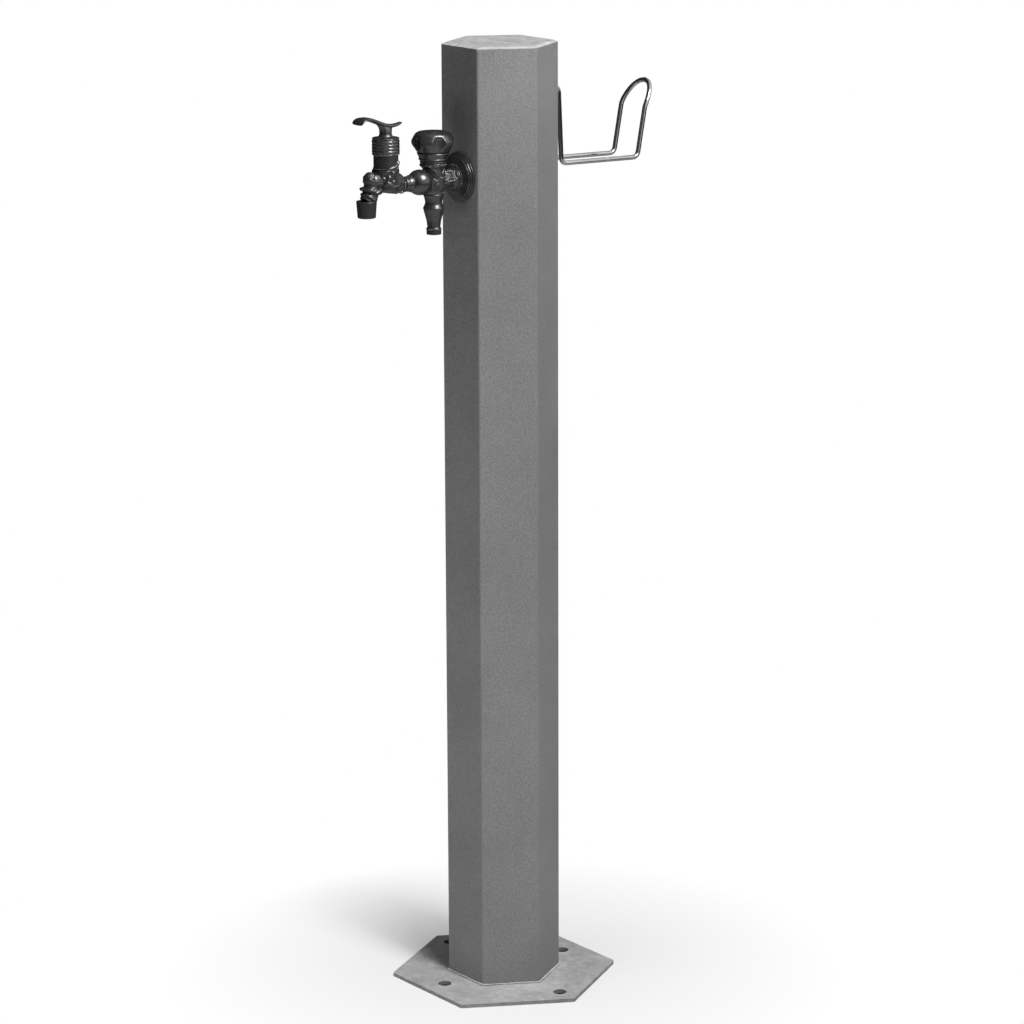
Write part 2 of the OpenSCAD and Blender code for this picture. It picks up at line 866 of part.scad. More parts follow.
module front_bonnet() {
  base = front_body_top;
  step = base + bonnet_h / 2;
  top = base + bonnet_h;
  r = bonnet_d / 2;
  pitch = (top - step - 1.6) / bonnet_ribs;
  color([0.1, 0.1, 0.11])
    on_tap(front_y)
      difference() {
        rotate_extrude() {
          polygon([[0, base], [front_body_r - 0.4, base], [front_body_r, base + 0.8],
            [front_body_r, step - 1.4], [r - 0.4, step], [r - 0.9, step + 0.8], [r - 0.9, top - 0.8],
            [r - 0.4, top], [0, top]]);
          for (i = [0:bonnet_ribs - 1])
            translate([r - 1.1, step + 0.8 + pitch * (i + 0.5)])
              circle(r = 1.1);
        }
        translate([0, 0, base - 1])
          cylinder(r = front_bore_r, h = 1 + 6.4);
        translate([0, 0, base - 1])
          cylinder(r = front_bore_r - 0.6, h = bonnet_h - 2);
        translate([0, 0, base])
          cylinder(r = cartridge_neck_r + seated, h = bonnet_h + 1);
      }
}

module bonnet_cap() {
  h = cap_cone_h;
  r = bonnet_d / 2;
  color([0.1, 0.1, 0.11])
    on_tap(front_y)
      translate([0, 0, front_body_top + bonnet_h])
        difference() {
          turned([[0, 0], [r - 0.6, 0], [r - 0.2, 0.5], [r - 0.4, 1.1], [r - 2, 1.4], [r - 4.6, 1.8],
            [lever_neck_r + 1.2, 2.5], [lever_neck_r + 0.4, h - 1.4], [lever_neck_r, h], [0, h]]);
          translate([0, 0, -1])
            cylinder(r = stem_r + gap, h = h + 2);
        }
}

// Point at the parameter t of the Bezier curve through the control points p
function bezier(p, t) = len(p) == 1 ? p[0] :
  bezier([for (i = [0:len(p) - 2]) p[i] * (1 - t) + p[i + 1] * t], t);

module front_lever() {
  steps = 30;
  neck_top = lever_foot + lever_neck_h;
  back = [[-35.6, 6.7], [-31, 15.2], [-16, 13.2], [-5, -0.8], [8, -0.8], [19.5, 4.2]];
  plan = [[-35.6, paddle_w * 0.44], [-34.8, paddle_w * 0.66], [-20, 3.2], [-6, 5.4], [4, 8.6], [12, 3.6],
    [19.5, 2.6]];
  upper = [for (i = [0:steps]) bezier(back, i / steps) + [0, 1.2 + 0.9 * sin(180 * i / steps)]];
  lower = [for (i = [steps:-1:0]) bezier(back, i / steps) - [0, 1.2 + 0.9 * sin(180 * i / steps)]];
  edge = [for (i = [0:steps]) bezier(plan, i / steps)];
  color([0.1, 0.1, 0.11])
    on_tap(front_y)
      difference() {
        union() {
          translate([0, 0, lever_foot])
            cylinder(r = lever_neck_r, h = lever_neck_h + 0.6);
          translate([-4, 0, neck_top])
            rotate([90, 0, 90])
              linear_extrude(8)
                polygon([[0, -3.5], [-5.4, -3.5], [-7, 1.8], [-9, 5.6], [-12, 8.2], [-10, 9.5], [0, 1.5]]);
          translate([0, 0, neck_top])
            intersection() {
              translate([-15, 0, 0])
                rotate([90, 0, 90])
                  linear_extrude(30)
                    polygon(concat(upper, lower));
              translate([0, 0, -20])
                linear_extrude(60)
                  polygon(concat([for (e = edge) [e[1], e[0]]],
                    [for (i = [steps:-1:0]) [-edge[i][1], edge[i][0]]]));
            }
        }
        translate([0, 0, lever_foot - 1])
          cylinder(r = stem_r + seated, h = lever_neck_h + 0.1);
        translate([0, 0, lever_foot])
          cylinder(r = screw_r + seated, h = 40);
        translate([0, 0, neck_top + lever_screw_seat])
          cylinder(r = 3.6, h = 20);
      }
}

module lever_screw() {
  neck_top = lever_foot + lever_neck_h;
  color([0.75, 0.75, 0.76])
    on_tap(front_y) {
      translate([0, 0, neck_top - 6])
        cylinder(r = screw_r, h = 8);
      translate([0, 0, neck_top + lever_screw_seat])
        difference() {
          cylinder(r = 3.5, h = 1.6);
          translate([0, 0, 0.6])
            cylinder(d = 2.9, h = 2, $fn = 6);
        }
    }
}

module spout_nozzle() {
  top = -spout_bend_r;
  r = nozzle_d / 2;
  mouth = 6.5;
  color([0.17, 0.17, 0.18])
    on_tap(spout_y)
      translate([0, 0, top - nozzle_l])
        difference() {
          turned([[0, 0], [r - 1.9, 0], [r - 1.35, 0.5], [r - 0.2, nozzle_l - 1.2], [r, nozzle_l - 0.8],
            [r - 0.5, nozzle_l], [0, nozzle_l]]);
          translate([0, 0, -1])
            cylinder(r = mouth, h = nozzle_l + 2);
          translate([0, 0, nozzle_l - spigot_l - 2 * mesh_t])
            cylinder(r = spigot_r + seated, h = spigot_l + 4);
        }
}

module nozzle_gasket() {
  color([0.1, 0.1, 0.1])
    on_tap(spout_y)
      translate([0, 0, -spout_bend_r - spigot_l - mesh_t])
        difference() {
          cylinder(r = spigot_r - seated, h = mesh_t);
          translate([0, 0, -1])
            cylinder(r = spout_bore_r, h = 4);
        }
}

module flow_mesh() {
  pitch = 2.4;
  color([0.8, 0.8, 0.8])
    on_tap(spout_y)
      translate([0, 0, -spout_bend_r - spigot_l - 2 * mesh_t])
        difference() {
          cylinder(r = spigot_r - seated, h = mesh_t);
          for (ring = [0:2])
            for (i = [0:max(6 * ring - 1, 0)])
              rotate([0, 0, 60 * i / max(ring, 1)])
                translate([ring * pitch, 0, -1])
                  cylinder(r = 0.8, h = 4);
        }
}

// Round wire of diameter d along the points p in the XY plane, with bends of radius r. Its straight
// runs stop a hair short of the bends, and a slightly thinner core runs on into them.
module bent_wire(p, d, radii) {
  n = len(p);
  hair = 0.02;
  root = 0.6;
  function way(i) = atan2(p[i + 1][1] - p[i][1], p[i + 1][0] - p[i][0]);
  function bend(i) = way(i) - way(i - 1);
  function cut(i) = i == 0 ? 0 : i == n - 1 ? hair : radii[i] * tan(abs(bend(i)) / 2) + hair;
  for (i = [0:n - 2]) {
    run = norm(p[i + 1] - p[i]) - cut(i) - cut(i + 1);
    core_foot = i == 0 ? root : -root;
    translate(p[i])
      rotate([0, 0, way(i)])
        translate([cut(i), 0, 0])
          rotate([0, 90, 0]) {
            cylinder(d = d, h = run);
            translate([0, 0, core_foot])
              cylinder(d = d - 0.2, h = run + root - core_foot);
          }
  }
  for (i = [1:n - 2])
    translate(p[i])
      rotate([0, 0, way(i - 1)])
        translate([hair - cut(i), sign(bend(i)) * radii[i], 0])
          rotate([0, 0, bend(i) > 0 ? -90 : 90 + bend(i)])
            rotate_extrude(angle = abs(bend(i)))
              translate([radii[i], 0])
                circle(d = d);
}

module hose_holder() {
  leg_y = face_y + leg_offset;
  arm_z = holder_height - leg_h;
  foot_y = face_y + arm_reach;
  side = [[face_y - wire_tail, holder_height], [leg_y, holder_height], [leg_y + leg_lean, arm_z],
    [foot_y, arm_z - arm_drop],
    [foot_y + upright_h * tan(upright_tilt), arm_z - arm_drop + upright_h],
    [foot_y + upright_h * tan(upright_tilt) + arch_neck * sin(arch_tilt),
      arm_z - arm_drop + upright_h + arch_neck * cos(arch_tilt)]];
  top = side[len(side) - 1];
  color([0.8, 0.8, 0.8])
    union() {
      for (s = [-1, 1])
        translate([s * arm_spacing / 2, 0, 0]) {
          rotate([90, 0, 90])
            bent_wire(side, wire_d, [0, wire_bend_r, wire_bend_r, wire_bend_r, arch_bend_r]);
          translate([0, face_y + 1.6, holder_height])
            rotate([90, 0, 0])
              cylinder(d = wire_d * 2, h = 1.6);
        }
      translate([0, top[0], top[1]])
        rotate([90 - arch_tilt, 0, 0])
          rotate_extrude(angle = 180)
            translate([arm_spacing / 2, 0])
              circle(d = wire_d);
    }
}

module holder_washers() {
  color([0.8, 0.8, 0.8])
    for (s = [-1, 1])
      translate([s * arm_spacing / 2, face_y - post_wall, holder_height])
        rotate([90, 0, 0])
          difference() {
            cylinder(d = wire_d * 2.2, h = 1);
            translate([0, 0, -1])
              cylinder(r = wire_d / 2 + seated, h = 3);
          }
}

module holder_nuts() {
  color([0.8, 0.8, 0.8])
    for (s = [-1, 1])
      translate([s * arm_spacing / 2, face_y - post_wall - 1, holder_height])
        rotate([90, 0, 0])
          difference() {
            hex_blank(wire_d * 1.6, wire_d * 0.8);
            translate([0, 0, -1])
              cylinder(r = wire_d / 2 + seated, h = wire_d * 2);
          }
}

base_plate();
post_tube();
foot_weld();
top_cap();
foot_bridge();
inlet_fitting();
inlet_locknut();
riser_pipe();
elbow_fitting();
tap_backnut();
backnut_washer();
wall_gasket();
wall_rosette();
rear_body();
rear_bonnet();
rear_o_ring();
rear_stem();
rear_carrier();
rear_washer();
rear_knob();
knob_screw();
knob_cap();
rear_outlet();
link_bulb();
front_body();
front_seal();
fixed_disc();
turning_disc();
front_cartridge();
front_o_ring();
front_stem();
front_bonnet();
bonnet_cap();
front_lever();
lever_screw();
spout_nozzle();
nozzle_gasket();
flow_mesh();
hose_holder();
holder_washers();
holder_nuts();
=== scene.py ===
"""Dresses the garden standpipe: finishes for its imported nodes, and finer castings for the tap."""

import math

import bmesh
import bpy
import numpy as np
from mathutils import Matrix, Vector


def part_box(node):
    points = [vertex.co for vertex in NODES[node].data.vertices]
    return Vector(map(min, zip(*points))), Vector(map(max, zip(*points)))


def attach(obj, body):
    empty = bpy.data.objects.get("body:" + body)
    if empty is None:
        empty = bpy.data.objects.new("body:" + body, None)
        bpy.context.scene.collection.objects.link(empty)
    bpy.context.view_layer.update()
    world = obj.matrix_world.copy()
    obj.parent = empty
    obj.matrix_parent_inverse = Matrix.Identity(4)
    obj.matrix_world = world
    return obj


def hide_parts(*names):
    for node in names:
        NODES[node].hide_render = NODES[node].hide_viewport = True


bl_info = {
    "name": "Garden standpipe",
    "version": (1, 0, 0),
    "blender": (4, 5, 0),
    "location": "3D View > Sidebar > Standpipe",
    "description": "Castings, finishes and studio of a hexagonal garden standpipe",
    "category": "Object",
}

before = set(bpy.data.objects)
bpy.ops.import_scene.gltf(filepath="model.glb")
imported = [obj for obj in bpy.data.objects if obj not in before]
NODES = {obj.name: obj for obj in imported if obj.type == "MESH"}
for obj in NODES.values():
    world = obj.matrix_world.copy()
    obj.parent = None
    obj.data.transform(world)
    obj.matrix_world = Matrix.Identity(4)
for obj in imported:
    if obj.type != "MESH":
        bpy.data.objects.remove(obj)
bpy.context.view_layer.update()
MM = 0.001
FIXED, KNOB, LEVER = "standpipe", "rear_knob", "front_lever"


def middle(node):
    """Centre of a node's box, in millimetres."""
    low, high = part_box(node)
    return (low + high) / 2 / MM


def span_above_axis(node):
    """Lowest and highest point of a node, in millimetres from the height of the tap's axis."""
    low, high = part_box(node)
    return low.z / MM - TAP_Z, high.z / MM - TAP_Z


REAR_Y = middle("rear_stem").y
FRONT_Y = middle("front_stem").y
SPOUT_Y = middle("flow_mesh").y
TAP_Z = middle("wall_gasket").z
FACE_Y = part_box("wall_gasket")[1].y / MM

# Sizes of the tap in millimetres. Heights are counted from its axis.
REAR_DRUM, FRONT_DRUM, SPOUT_R = 11.0, 12.5, 7.6
INLET_Y, FLANGE_Y = FACE_Y - 9.5, FACE_Y - 1
OUTLET_TOP = -13.0
CASTING_TOP = 18.0
FRONT_BONNET_TOP = 48.0
LEVER_NECK_R, LEVER_NECK_H = 6.3, 5.5
SCREW_BORE_R, STEM_BORE_R = 2.03, 4.03
FIRST_RING, SECOND_RING = 27.0, 34.6
SMALLEST_CUT, LARGEST_SHARE = 0.02, 0.45  # of a corner's rounding
POLE_FADE = 3  # radius up to which relief fades in


# Sizes and colours

def length_property(name, description, default, low, high):
    """Property of a length."""
    return bpy.props.FloatProperty(
        name=name, description=f"{description}, in millimetres", default=default, min=low, max=high)


def colour_property(name, description, *colour):
    """Property of a colour."""
    return bpy.props.FloatVectorProperty(
        name=name, description=description, subtype="COLOR", size=3, min=0, max=1, default=colour)


def light_property(name, description, default, **more):
    """Property of a lamp's power or of the sky's strength."""
    return bpy.props.FloatProperty(
        name=name, description=description, default=default, min=0, **more)


class StandpipeSizes(bpy.types.PropertyGroup):
    knob_radius: length_property("Knob radius", "Radius of the rear knob over its lobes",
                                 22.0, 20, 24)
    leaf_height: length_property("Leaf height", "How far the cast leaves stand out", 1.0, 0.3, 1.6)
    scroll_width: length_property("Scroll width", "Half width of the cast scrolls", 1.25, 0.6, 2.0)
    cast_detail: length_property("Cast detail", "Grid size of the castings", 0.28, 0.2, 0.6)
    bead_size: length_property("Bead size", "Radius of the cast beads", 0.75, 0.4, 1.2)
    thread_pitch: length_property("Thread pitch", "Pitch of the half-inch pipe thread",
                                  1.814, 1.0, 2.5)
    weld_step: length_property("Weld step", "Distance between the ripples of the weld",
                               1.5, 0.8, 4.0)


class StandpipeColours(bpy.types.PropertyGroup):
    coat: colour_property("Post coat", "Powder coat of the post", 0.2, 0.2, 0.201)
    zinc: colour_property("Zinc", "Galvanised plate, cap and weld", 0.5, 0.5, 0.505)
    lacquer: colour_property("Tap lacquer", "Black lacquer of the tap's castings",
                             0.019, 0.019, 0.02)
    nozzle: colour_property("Nozzle", "Satin black of the spout nozzle", 0.018, 0.018, 0.019)
    wire: colour_property("Wire", "Bright wire of the hose holder", 0.62, 0.62, 0.63)
    brass: colour_property("Brass", "Machined brass inside", 0.62, 0.45, 0.17)


class StandpipeStage(bpy.types.PropertyGroup):
    key_power: light_property("Key light", "Power of the soft box", 40.0, unit="POWER")
    fill_power: light_property("Fill light", "Power of the fill light", 38.0, unit="POWER")
    low_power: light_property("Low light", "Power of the lamp near the floor", 1.9, unit="POWER")
    shine_power: light_property("Shine", "Power of the panel that only shows in gloss", 50.0,
                                unit="POWER")
    sky: light_property("Sky", "Strength of the world on surfaces", 0.03, max=1)
    mirrored_sky: light_property(
        "Mirrored sky", "Strength of the bright side of the world in reflections", 0.9, max=1)
    mirrored_dark: light_property(
        "Mirrored dark", "Strength of its far, dark side in reflections", 0.03, max=1)


# Mesh building in millimetres

def smoothed(section, radius, steps=3):
    """The section with its corners rounded to about the given radius."""
    points = [Vector(p) for p in section]
    result = [tuple(points[0])]
    for before, here, after in zip(points, points[1:], points[2:]):
        a, b = before - here, after - here
        cut = min(radius, a.length * LARGEST_SHARE, b.length * LARGEST_SHARE)
        if cut < SMALLEST_CUT:
            result.append(tuple(here))
            continue
        start, end = here + a.normalized() * cut, here + b.normalized() * cut
        for i in range(steps + 1):
            t = i / steps
            result.append(tuple(start * (1 - t) ** 2 + here * 2 * t * (1 - t) + end * t * t))
    result.append(tuple(points[-1]))
    return result


def resampled(section, step):
    """The section with no piece of it longer than the step."""
    result = [tuple(section[0])]
    for a, b in zip(section, section[1:]):
        count = max(1, math.ceil(math.dist(a, b) / step))
        result += [tuple(np.add(np.multiply(a, 1 - i / count), np.multiply(b, i / count)))
                   for i in range(1, count + 1)]
    return result


def lathe(section, sides=96, relief=None, loop=False, step=None, rounding=0.3):
    """Vertices and faces of a section of (radius, height) points turned about Z. The relief is a
    function of the angle in degrees, the height and the radius, and moves the surface outwards."""
    if loop:
        section = [*section, section[0]]
    if rounding:
        section = smoothed(section, rounding)
    if step:
        section = resampled(section, step)
    if loop:
        section = section[:-1]
    section = np.array(section, float)
    angle = np.linspace(0, 2 * np.pi, sides, endpoint=False)[None, :]
    radius, height = section[:, :1] + 0 * angle, section[:, 1:] + 0 * angle
    if relief:
        raised = relief(np.degrees(angle) + 0 * radius, height, radius)
        radius = radius + raised * np.clip(radius / POLE_FADE, 0, 1)
    points = np.stack([radius * np.cos(angle), radius * np.sin(angle), height], -1).reshape(-1, 3)
    return points, grid_faces(len(section), sides, loop)


def grid_faces(rows, columns, loop=False):
    """Quads of a grid whose columns close on themselves, and its rows too for a loop."""
    faces = []
    for i in range(rows if loop else rows - 1):
        a, b = i * columns, ((i + 1) % rows) * columns
        faces += [(a + j, a + (j + 1) % columns, b + (j + 1) % columns, b + j)
                  for j in range(columns)]
    return faces


def directions(path):
    """Unit vectors along a path."""
    along = np.gradient(path, axis=0)
    return along / np.linalg.norm(along, axis=1)[:, None]


def tube(path, radius, sides, relief=None):
    """Closed skin round a path that sets out square to X. The relief is a function of the angle
    from +X in degrees and of the distance along the path."""
    path = np.array(path, float)
    along = directions(path)
    side = np.zeros_like(path)
    side[0] = 1, 0, 0
    for i in range(1, len(path)):
        carried = side[i - 1] - along[i] * (side[i - 1] @ along[i])
        side[i] = carried / np.linalg.norm(carried)
    outward = np.cross(side, along)
    angle = np.linspace(0, 2 * np.pi, sides, endpoint=False)
    radius = np.full((len(path), sides), radius)
    if relief:
        distance = travelled(path)[:, None] + 0 * radius
        radius = radius + relief(np.degrees(angle)[None, :] + 0 * radius, distance, 0)
    ring = (np.cos(angle)[None, :, None] * side[:, None, :]
            + np.sin(angle)[None, :, None] * outward[:, None, :])
    skin = path[:, None, :] + radius[..., None] * ring
    ends = [path[i][None, None, :] + 0 * ring[:1] for i in (0, -1)]
    points = np.concatenate([ends[0], skin, ends[1]])
    return points.reshape(-1, 3), grid_faces(len(points), sides)


def travelled(path):
    """Distance along a path to each of its points."""
    return np.concatenate([[0], np.cumsum(np.linalg.norm(np.diff(path, axis=0), axis=1))])


def eased(points, radius, count=10):
    """The path with an arc of the radius at each corner."""
    points = [np.array(p, float) for p in points]
    result = [points[0]]
    for a, b, c in zip(points, points[1:], points[2:]):
        into, onward = (b - a) / np.linalg.norm(b - a), (c - b) / np.linalg.norm(c - b)
        half = math.acos(min(1.0, into @ onward)) / 2
        start, end = b - into * radius * math.tan(half), b + onward * radius * math.tan(half)
        for t in np.linspace(0, 1, count):
            shares = (1 - t) ** 2, 2 * t * (1 - t) * math.cos(half), t * t
            result.append((shares[0] * start + shares[1] * b + shares[2] * end) / sum(shares))
    return result + [points[-1]]


def curve_points(control, t):
    """Points of a Bezier curve at the parameters t."""
    rows = [np.array(point, float)[None, :] + 0 * t[:, None] for point in control]
    while len(rows) > 1:
        rows = [a * (1 - t[:, None]) + b * t[:, None] for a, b in zip(rows, rows[1:])]
    return rows[0]


def moved(shell, matrix):
    """The shell with the matrix applied to its points."""
    points, faces = shell
    points = np.asarray(points) @ np.array(matrix.to_3x3()).T + np.array(matrix.translation)
    return points, faces


def up_at(y):
    """Stands a shape that points to +Z on the tap's axis height at y."""
    return Matrix.Translation((0, y, TAP_Z))


def tilted(degrees):
    """Turns a shape about X."""
    return Matrix.Rotation(math.radians(degrees), 4, "X")


def out_from(y):
    """Turns a shape that points to +Z towards the front of the tap, from the plane y."""
    return up_at(y) @ tilted(90)


def rod(place, radius, low, high, sides=64):
    """Plain closed cylinder along Z, put in place."""
    return moved(lathe([(0, low), (radius, low), (radius, high), (0, high)], sides, rounding=0),
                 place)


def object_of(name, mesh):
    """New object in the scene."""
    obj = bpy.data.objects.new(name, mesh)
    bpy.context.scene.collection.objects.link(obj)
    return obj


def mesh_of(name, shape):
    """Mesh of a bmesh, which is freed."""
    mesh = bpy.data.meshes.new(name)
    shape.to_mesh(mesh)
    shape.free()
    return mesh


def solid(name, *shells):
    """Object made of closed shells, with merged poles and outward faces."""
    shape = bmesh.new()
    for points, faces in shells:
        verts = [shape.verts.new(np.multiply(p, MM)) for p in points]
        for face in faces:
            shape.faces.new([verts[i] for i in face])
    bmesh.ops.remove_doubles(shape, verts=shape.verts, dist=1e-7)
    bmesh.ops.dissolve_degenerate(shape, edges=shape.edges, dist=1e-8)
    bmesh.ops.recalc_face_normals(shape, faces=shape.faces)
    obj = object_of(name, mesh_of(name, shape))
    shade(obj)
    return obj


def shade(obj, sharp=38):
    """Smooth shading with creases at edges over the angle."""
    obj.data.shade_smooth()
    obj.data.set_sharp_from_angle(angle=math.radians(sharp))


def settle(obj):
    """Turns the object's modifiers into plain mesh."""
    bpy.context.view_layer.update()
    evaluated = obj.evaluated_get(bpy.context.evaluated_depsgraph_get())
    mesh = bpy.data.meshes.new_from_object(evaluated)
    obj.modifiers.clear()
    old = obj.data
    obj.data = mesh
    mesh.name = obj.name
    bpy.data.meshes.remove(old)


def fused(obj, detail, passes=7):
    """Makes one skin round the object's overlapping shells, softened as a casting is."""
    remesh = obj.modifiers.new("skin", "REMESH")
    remesh.mode = "VOXEL"
    remesh.voxel_size = detail * MM
    soft = obj.modifiers.new("soft", "SMOOTH")
    soft.factor = 0.5
    soft.iterations = passes
    settle(obj)


def bored(obj, *shells, sharp=38):
    """Cuts closed shells out of the object."""
    for i, shell in enumerate(shells):
        cutter = solid(f"{obj.name}_cutter_{i}", shell)
        cut = obj.modifiers.new("bore", "BOOLEAN")
        cut.operation = "DIFFERENCE"
        cut.solver = "MANIFOLD"
        cut.object = cutter
        settle(obj)
        bpy.data.objects.remove(cutter)
    shade(obj, sharp)


# Cast relief, as functions of angle in degrees, height and radius

def across(angle, centre, radius):
    """Distance round the drum from the centre angle, in millimetres."""
    return np.radians((angle - centre + 180) % 360 - 180) * radius


def dome(share):
    """Height of a round back at a share of its half width."""
    return np.sqrt(np.clip(1 - share ** 2, 0, 1))


def ridge(path, width, height, drum):
    """Rounded ridge along a path of (angle, height) points on a drum of the given radius, with a
    width for each end."""
    centre = path[0][0]
    spots = [(across(np.array(a), centre, drum), z) for a, z in path]

    def raised(angle, z, _radius):
        u = across(angle, centre, drum)
        result = np.zeros_like(u)
        for i, (a, b) in enumerate(zip(spots, spots[1:])):
            du, dz = b[0] - a[0], b[1] - a[1]
            t = np.clip(((u - a[0]) * du + (z - a[1]) * dz) / (du * du + dz * dz), 0, 1)
            distance = np.hypot(u - a[0] - t * du, z - a[1] - t * dz)
            place = (i + t) / (len(spots) - 1)
            w = width[0] * (1 - place) + width[1] * place
            result = np.maximum(result, height * dome(distance / w))
        return result
    return raised


def volute(angle, z, size, width, height, drum, start, way, turns=1.1):
    """Curl that winds in to a boss at its centre."""
    path, steps, wound = [], 21, 0.78
    for i in range(steps + 1):
        t = i / steps
        radius = size * (1 - wound * t)
        turn = math.radians(start) + way * t * turns * 2 * math.pi
        path.append((angle + math.degrees(radius * math.cos(turn) / drum),
                     z + radius * math.sin(turn)))
    path.append((angle, z))
    return ridge(path, (width, width * 1.1), height, drum)


def leaf(angle, foot, length, width, height, drum, lobes=3):
    """Pointed leaf that stands on its foot, with lobed edges, a sunk midrib and side veins."""
    edge, body, vein, rib, rib_width = 0.5, 0.55, 0.16, 0.55, 0.45

    def raised(a, z, _radius):
        u = np.abs(across(a, angle, drum))
        v = np.clip((z - foot) / length, 0, 1)
        half = width / 2 * np.sin(np.pi * v) ** 0.7 * (1 + 0.2 * np.sin(2 * np.pi * lobes * v))
        inside = np.clip((half - u) / edge, 0, 1)
        crown = dome(u / np.maximum(half, 0.1))
        veins = vein * (1 - np.cos(2 * np.pi * (v * length * 0.42 - u * 0.5)))
        midrib = rib * np.exp(-(u / rib_width) ** 2) * (v < 0.9)
        return height * inside * np.clip(body + 0.45 * crown - veins - midrib, 0, 1)
    return raised


def leaves(angles, *shape):
    """A leaf at each of the angles."""
    return [leaf(angle, *shape) for angle in angles]


def boss(angle, z, size, height, drum):
    """Round boss, a bead of its own."""
    return lambda a, zz, _radius: height * dome(np.hypot(across(a, angle, drum), zz - z) / size)


def rope(z, half, height, strands, slant=1.0):
    """Raised ring of slanting strands round a drum."""
    def raised(angle, zz, _radius):
        t = (zz - z) / half
        strand = np.abs(np.sin(np.radians(angle) * strands / 2 + slant * t * np.pi / 2))
        return height * dome(t) * (0.6 + 0.4 * strand ** 0.6)
    return raised


def mirrored(maker, angle, *rest, start=None, way=None):
    """The ornament and its mirror image on the tap's other side, where a curl turns back."""
    if way is None:
        return [maker(angle, *rest), maker(180 - angle, *rest)]
    return [maker(angle, *rest, start, way), maker(180 - angle, *rest, 180 - start, -way)]


def both_ways(path, *rest):
    """A ridge and its mirror image on the tap's other side."""
    return [ridge(path, *rest), ridge([(180 - a, z) for a, z in path], *rest)]


def highest(*reliefs, beyond=0):
    """All reliefs together, the highest one showing, and none up to a radius."""
    flat = [r for group in reliefs for r in (group if isinstance(group, list) else [group])]

    def raised(angle, z, radius):
        top = np.maximum.reduce([r(angle, z, radius) for r in flat])
        return np.where(radius > beyond, top, 0) if beyond else top
    return raised


# Node trees

class Tree:
    """Small helper that places and wires the nodes of one tree."""

    def __init__(self, tree):
        self.tree = tree

    def takes(self, **sockets):
        """Adds inputs, each with its kind and maybe its default. A name has _ for a space."""
        for name, (kind, *default) in sockets.items():
            item = self.tree.interface.new_socket(
                name=name.replace("_", " "), in_out="INPUT", socket_type="NodeSocket" + kind)
            if default:
                item.default_value = default[0]
        self.enter = self.node("NodeGroupInput").outputs

    def gives(self, kind, **results):
        """Adds outputs of one kind, wires the results to them and returns the tree."""
        for name in results:
            self.tree.interface.new_socket(
                name=name, in_out="OUTPUT", socket_type="NodeSocket" + kind)
        self.fill(self.node("NodeGroupOutput"), results)
        return self.tree

    def node(self, kind, settings=None, **inputs):
        """Places a node with its settings and inputs."""
        node = self.tree.nodes.new(kind)
        for key, value in (settings or {}).items():
            setattr(node, key, value)
        self.fill(node, inputs)
        return node

    def fill(self, node, inputs):
        """Sets or wires a node's inputs. A key is a socket's name, with _ for a space, or i and
        its number."""
        for key, value in inputs.items():
            target = node.inputs[int(key[1:]) if key[1:].isdigit() else key.replace("_", " ")]
            if isinstance(value, bpy.types.NodeSocket):
                self.tree.links.new(value, target)
            else:
                target.default_value = value

    def math(self, operation, *values):
        """Result of a sum."""
        inputs = {f"i{i}": value for i, value in enumerate(values)}
        return self.node("ShaderNodeMath", {"operation": operation}, **inputs).outputs[0]

    def span(self, value, low, high, start=0.0, end=1.0):
        """Maps a value from one range to another."""
        return self.node("ShaderNodeMapRange", Value=value, From_Min=start, From_Max=end,
                         To_Min=low, To_Max=high).outputs[0]


class Growth(Tree):
    """A Geometry Nodes tree with a material input."""

    def __init__(self, name, **sockets):
        super().__init__(bpy.data.node_groups.new(name, "GeometryNodeTree"))
        self.takes(**sockets, Material=("Material",))

    def step(self, kind, settings=None, **inputs):
        """First output of a geometry node."""
        return self.node("GeometryNode" + kind, settings, **inputs).outputs[0]

    def beaded(self, points, subdivisions, **inputs):
        """Real, smooth balls of the tree's bead radius on the points."""
        bead = self.step("MeshIcoSphere", Radius=self.enter["Bead radius"],
                         Subdivisions=subdivisions)
        placed = self.step("InstanceOnPoints", Points=points, Instance=bead, **inputs)
        return self.step("SetShadeSmooth", Geometry=self.step("RealizeInstances", Geometry=placed))

    def done(self, geometry):
        """Gives the geometry its material, hands it out and returns the tree."""
        return self.gives("Geometry", Geometry=self.step(
            "SetMaterial", Geometry=geometry, Material=self.enter["Material"]))


def bead_ring_tree():
    """Ring of beads about Z."""
    t = Growth("Bead ring", Ring_radius=("Float", 0.01), Beads=("Int", 24),
               Bead_radius=("Float", 0.0007))
    ring = t.step("CurvePrimitiveCircle", Resolution=96, Radius=t.enter["Ring radius"])
    points = t.step("CurveToPoints", Curve=ring, Count=t.enter["Beads"])
    return t.done(t.beaded(points, 3))


def thread_tree():
    """Thread ridge that winds up about Z."""
    t = Growth("Thread", Core_radius=("Float", 0.009), Depth=("Float", 0.001),
               Pitch=("Float", 0.0018), Turns=("Float", 8.0))
    core, turns = t.enter["Core radius"], t.enter["Turns"]
    spiral = t.step("CurveSpiral", Resolution=48, Rotations=turns, Start_Radius=core,
                    End_Radius=core, Height=t.math("MULTIPLY", t.enter["Pitch"], turns))
    upright = t.step("SetCurveNormal", {"mode": "Z_UP"}, Curve=spiral)
    crest = t.step("CurvePrimitiveCircle", Resolution=4, Radius=t.enter["Depth"])
    return t.done(t.step("CurveToMesh", Curve=upright, Profile_Curve=crest, Fill_Caps=True))


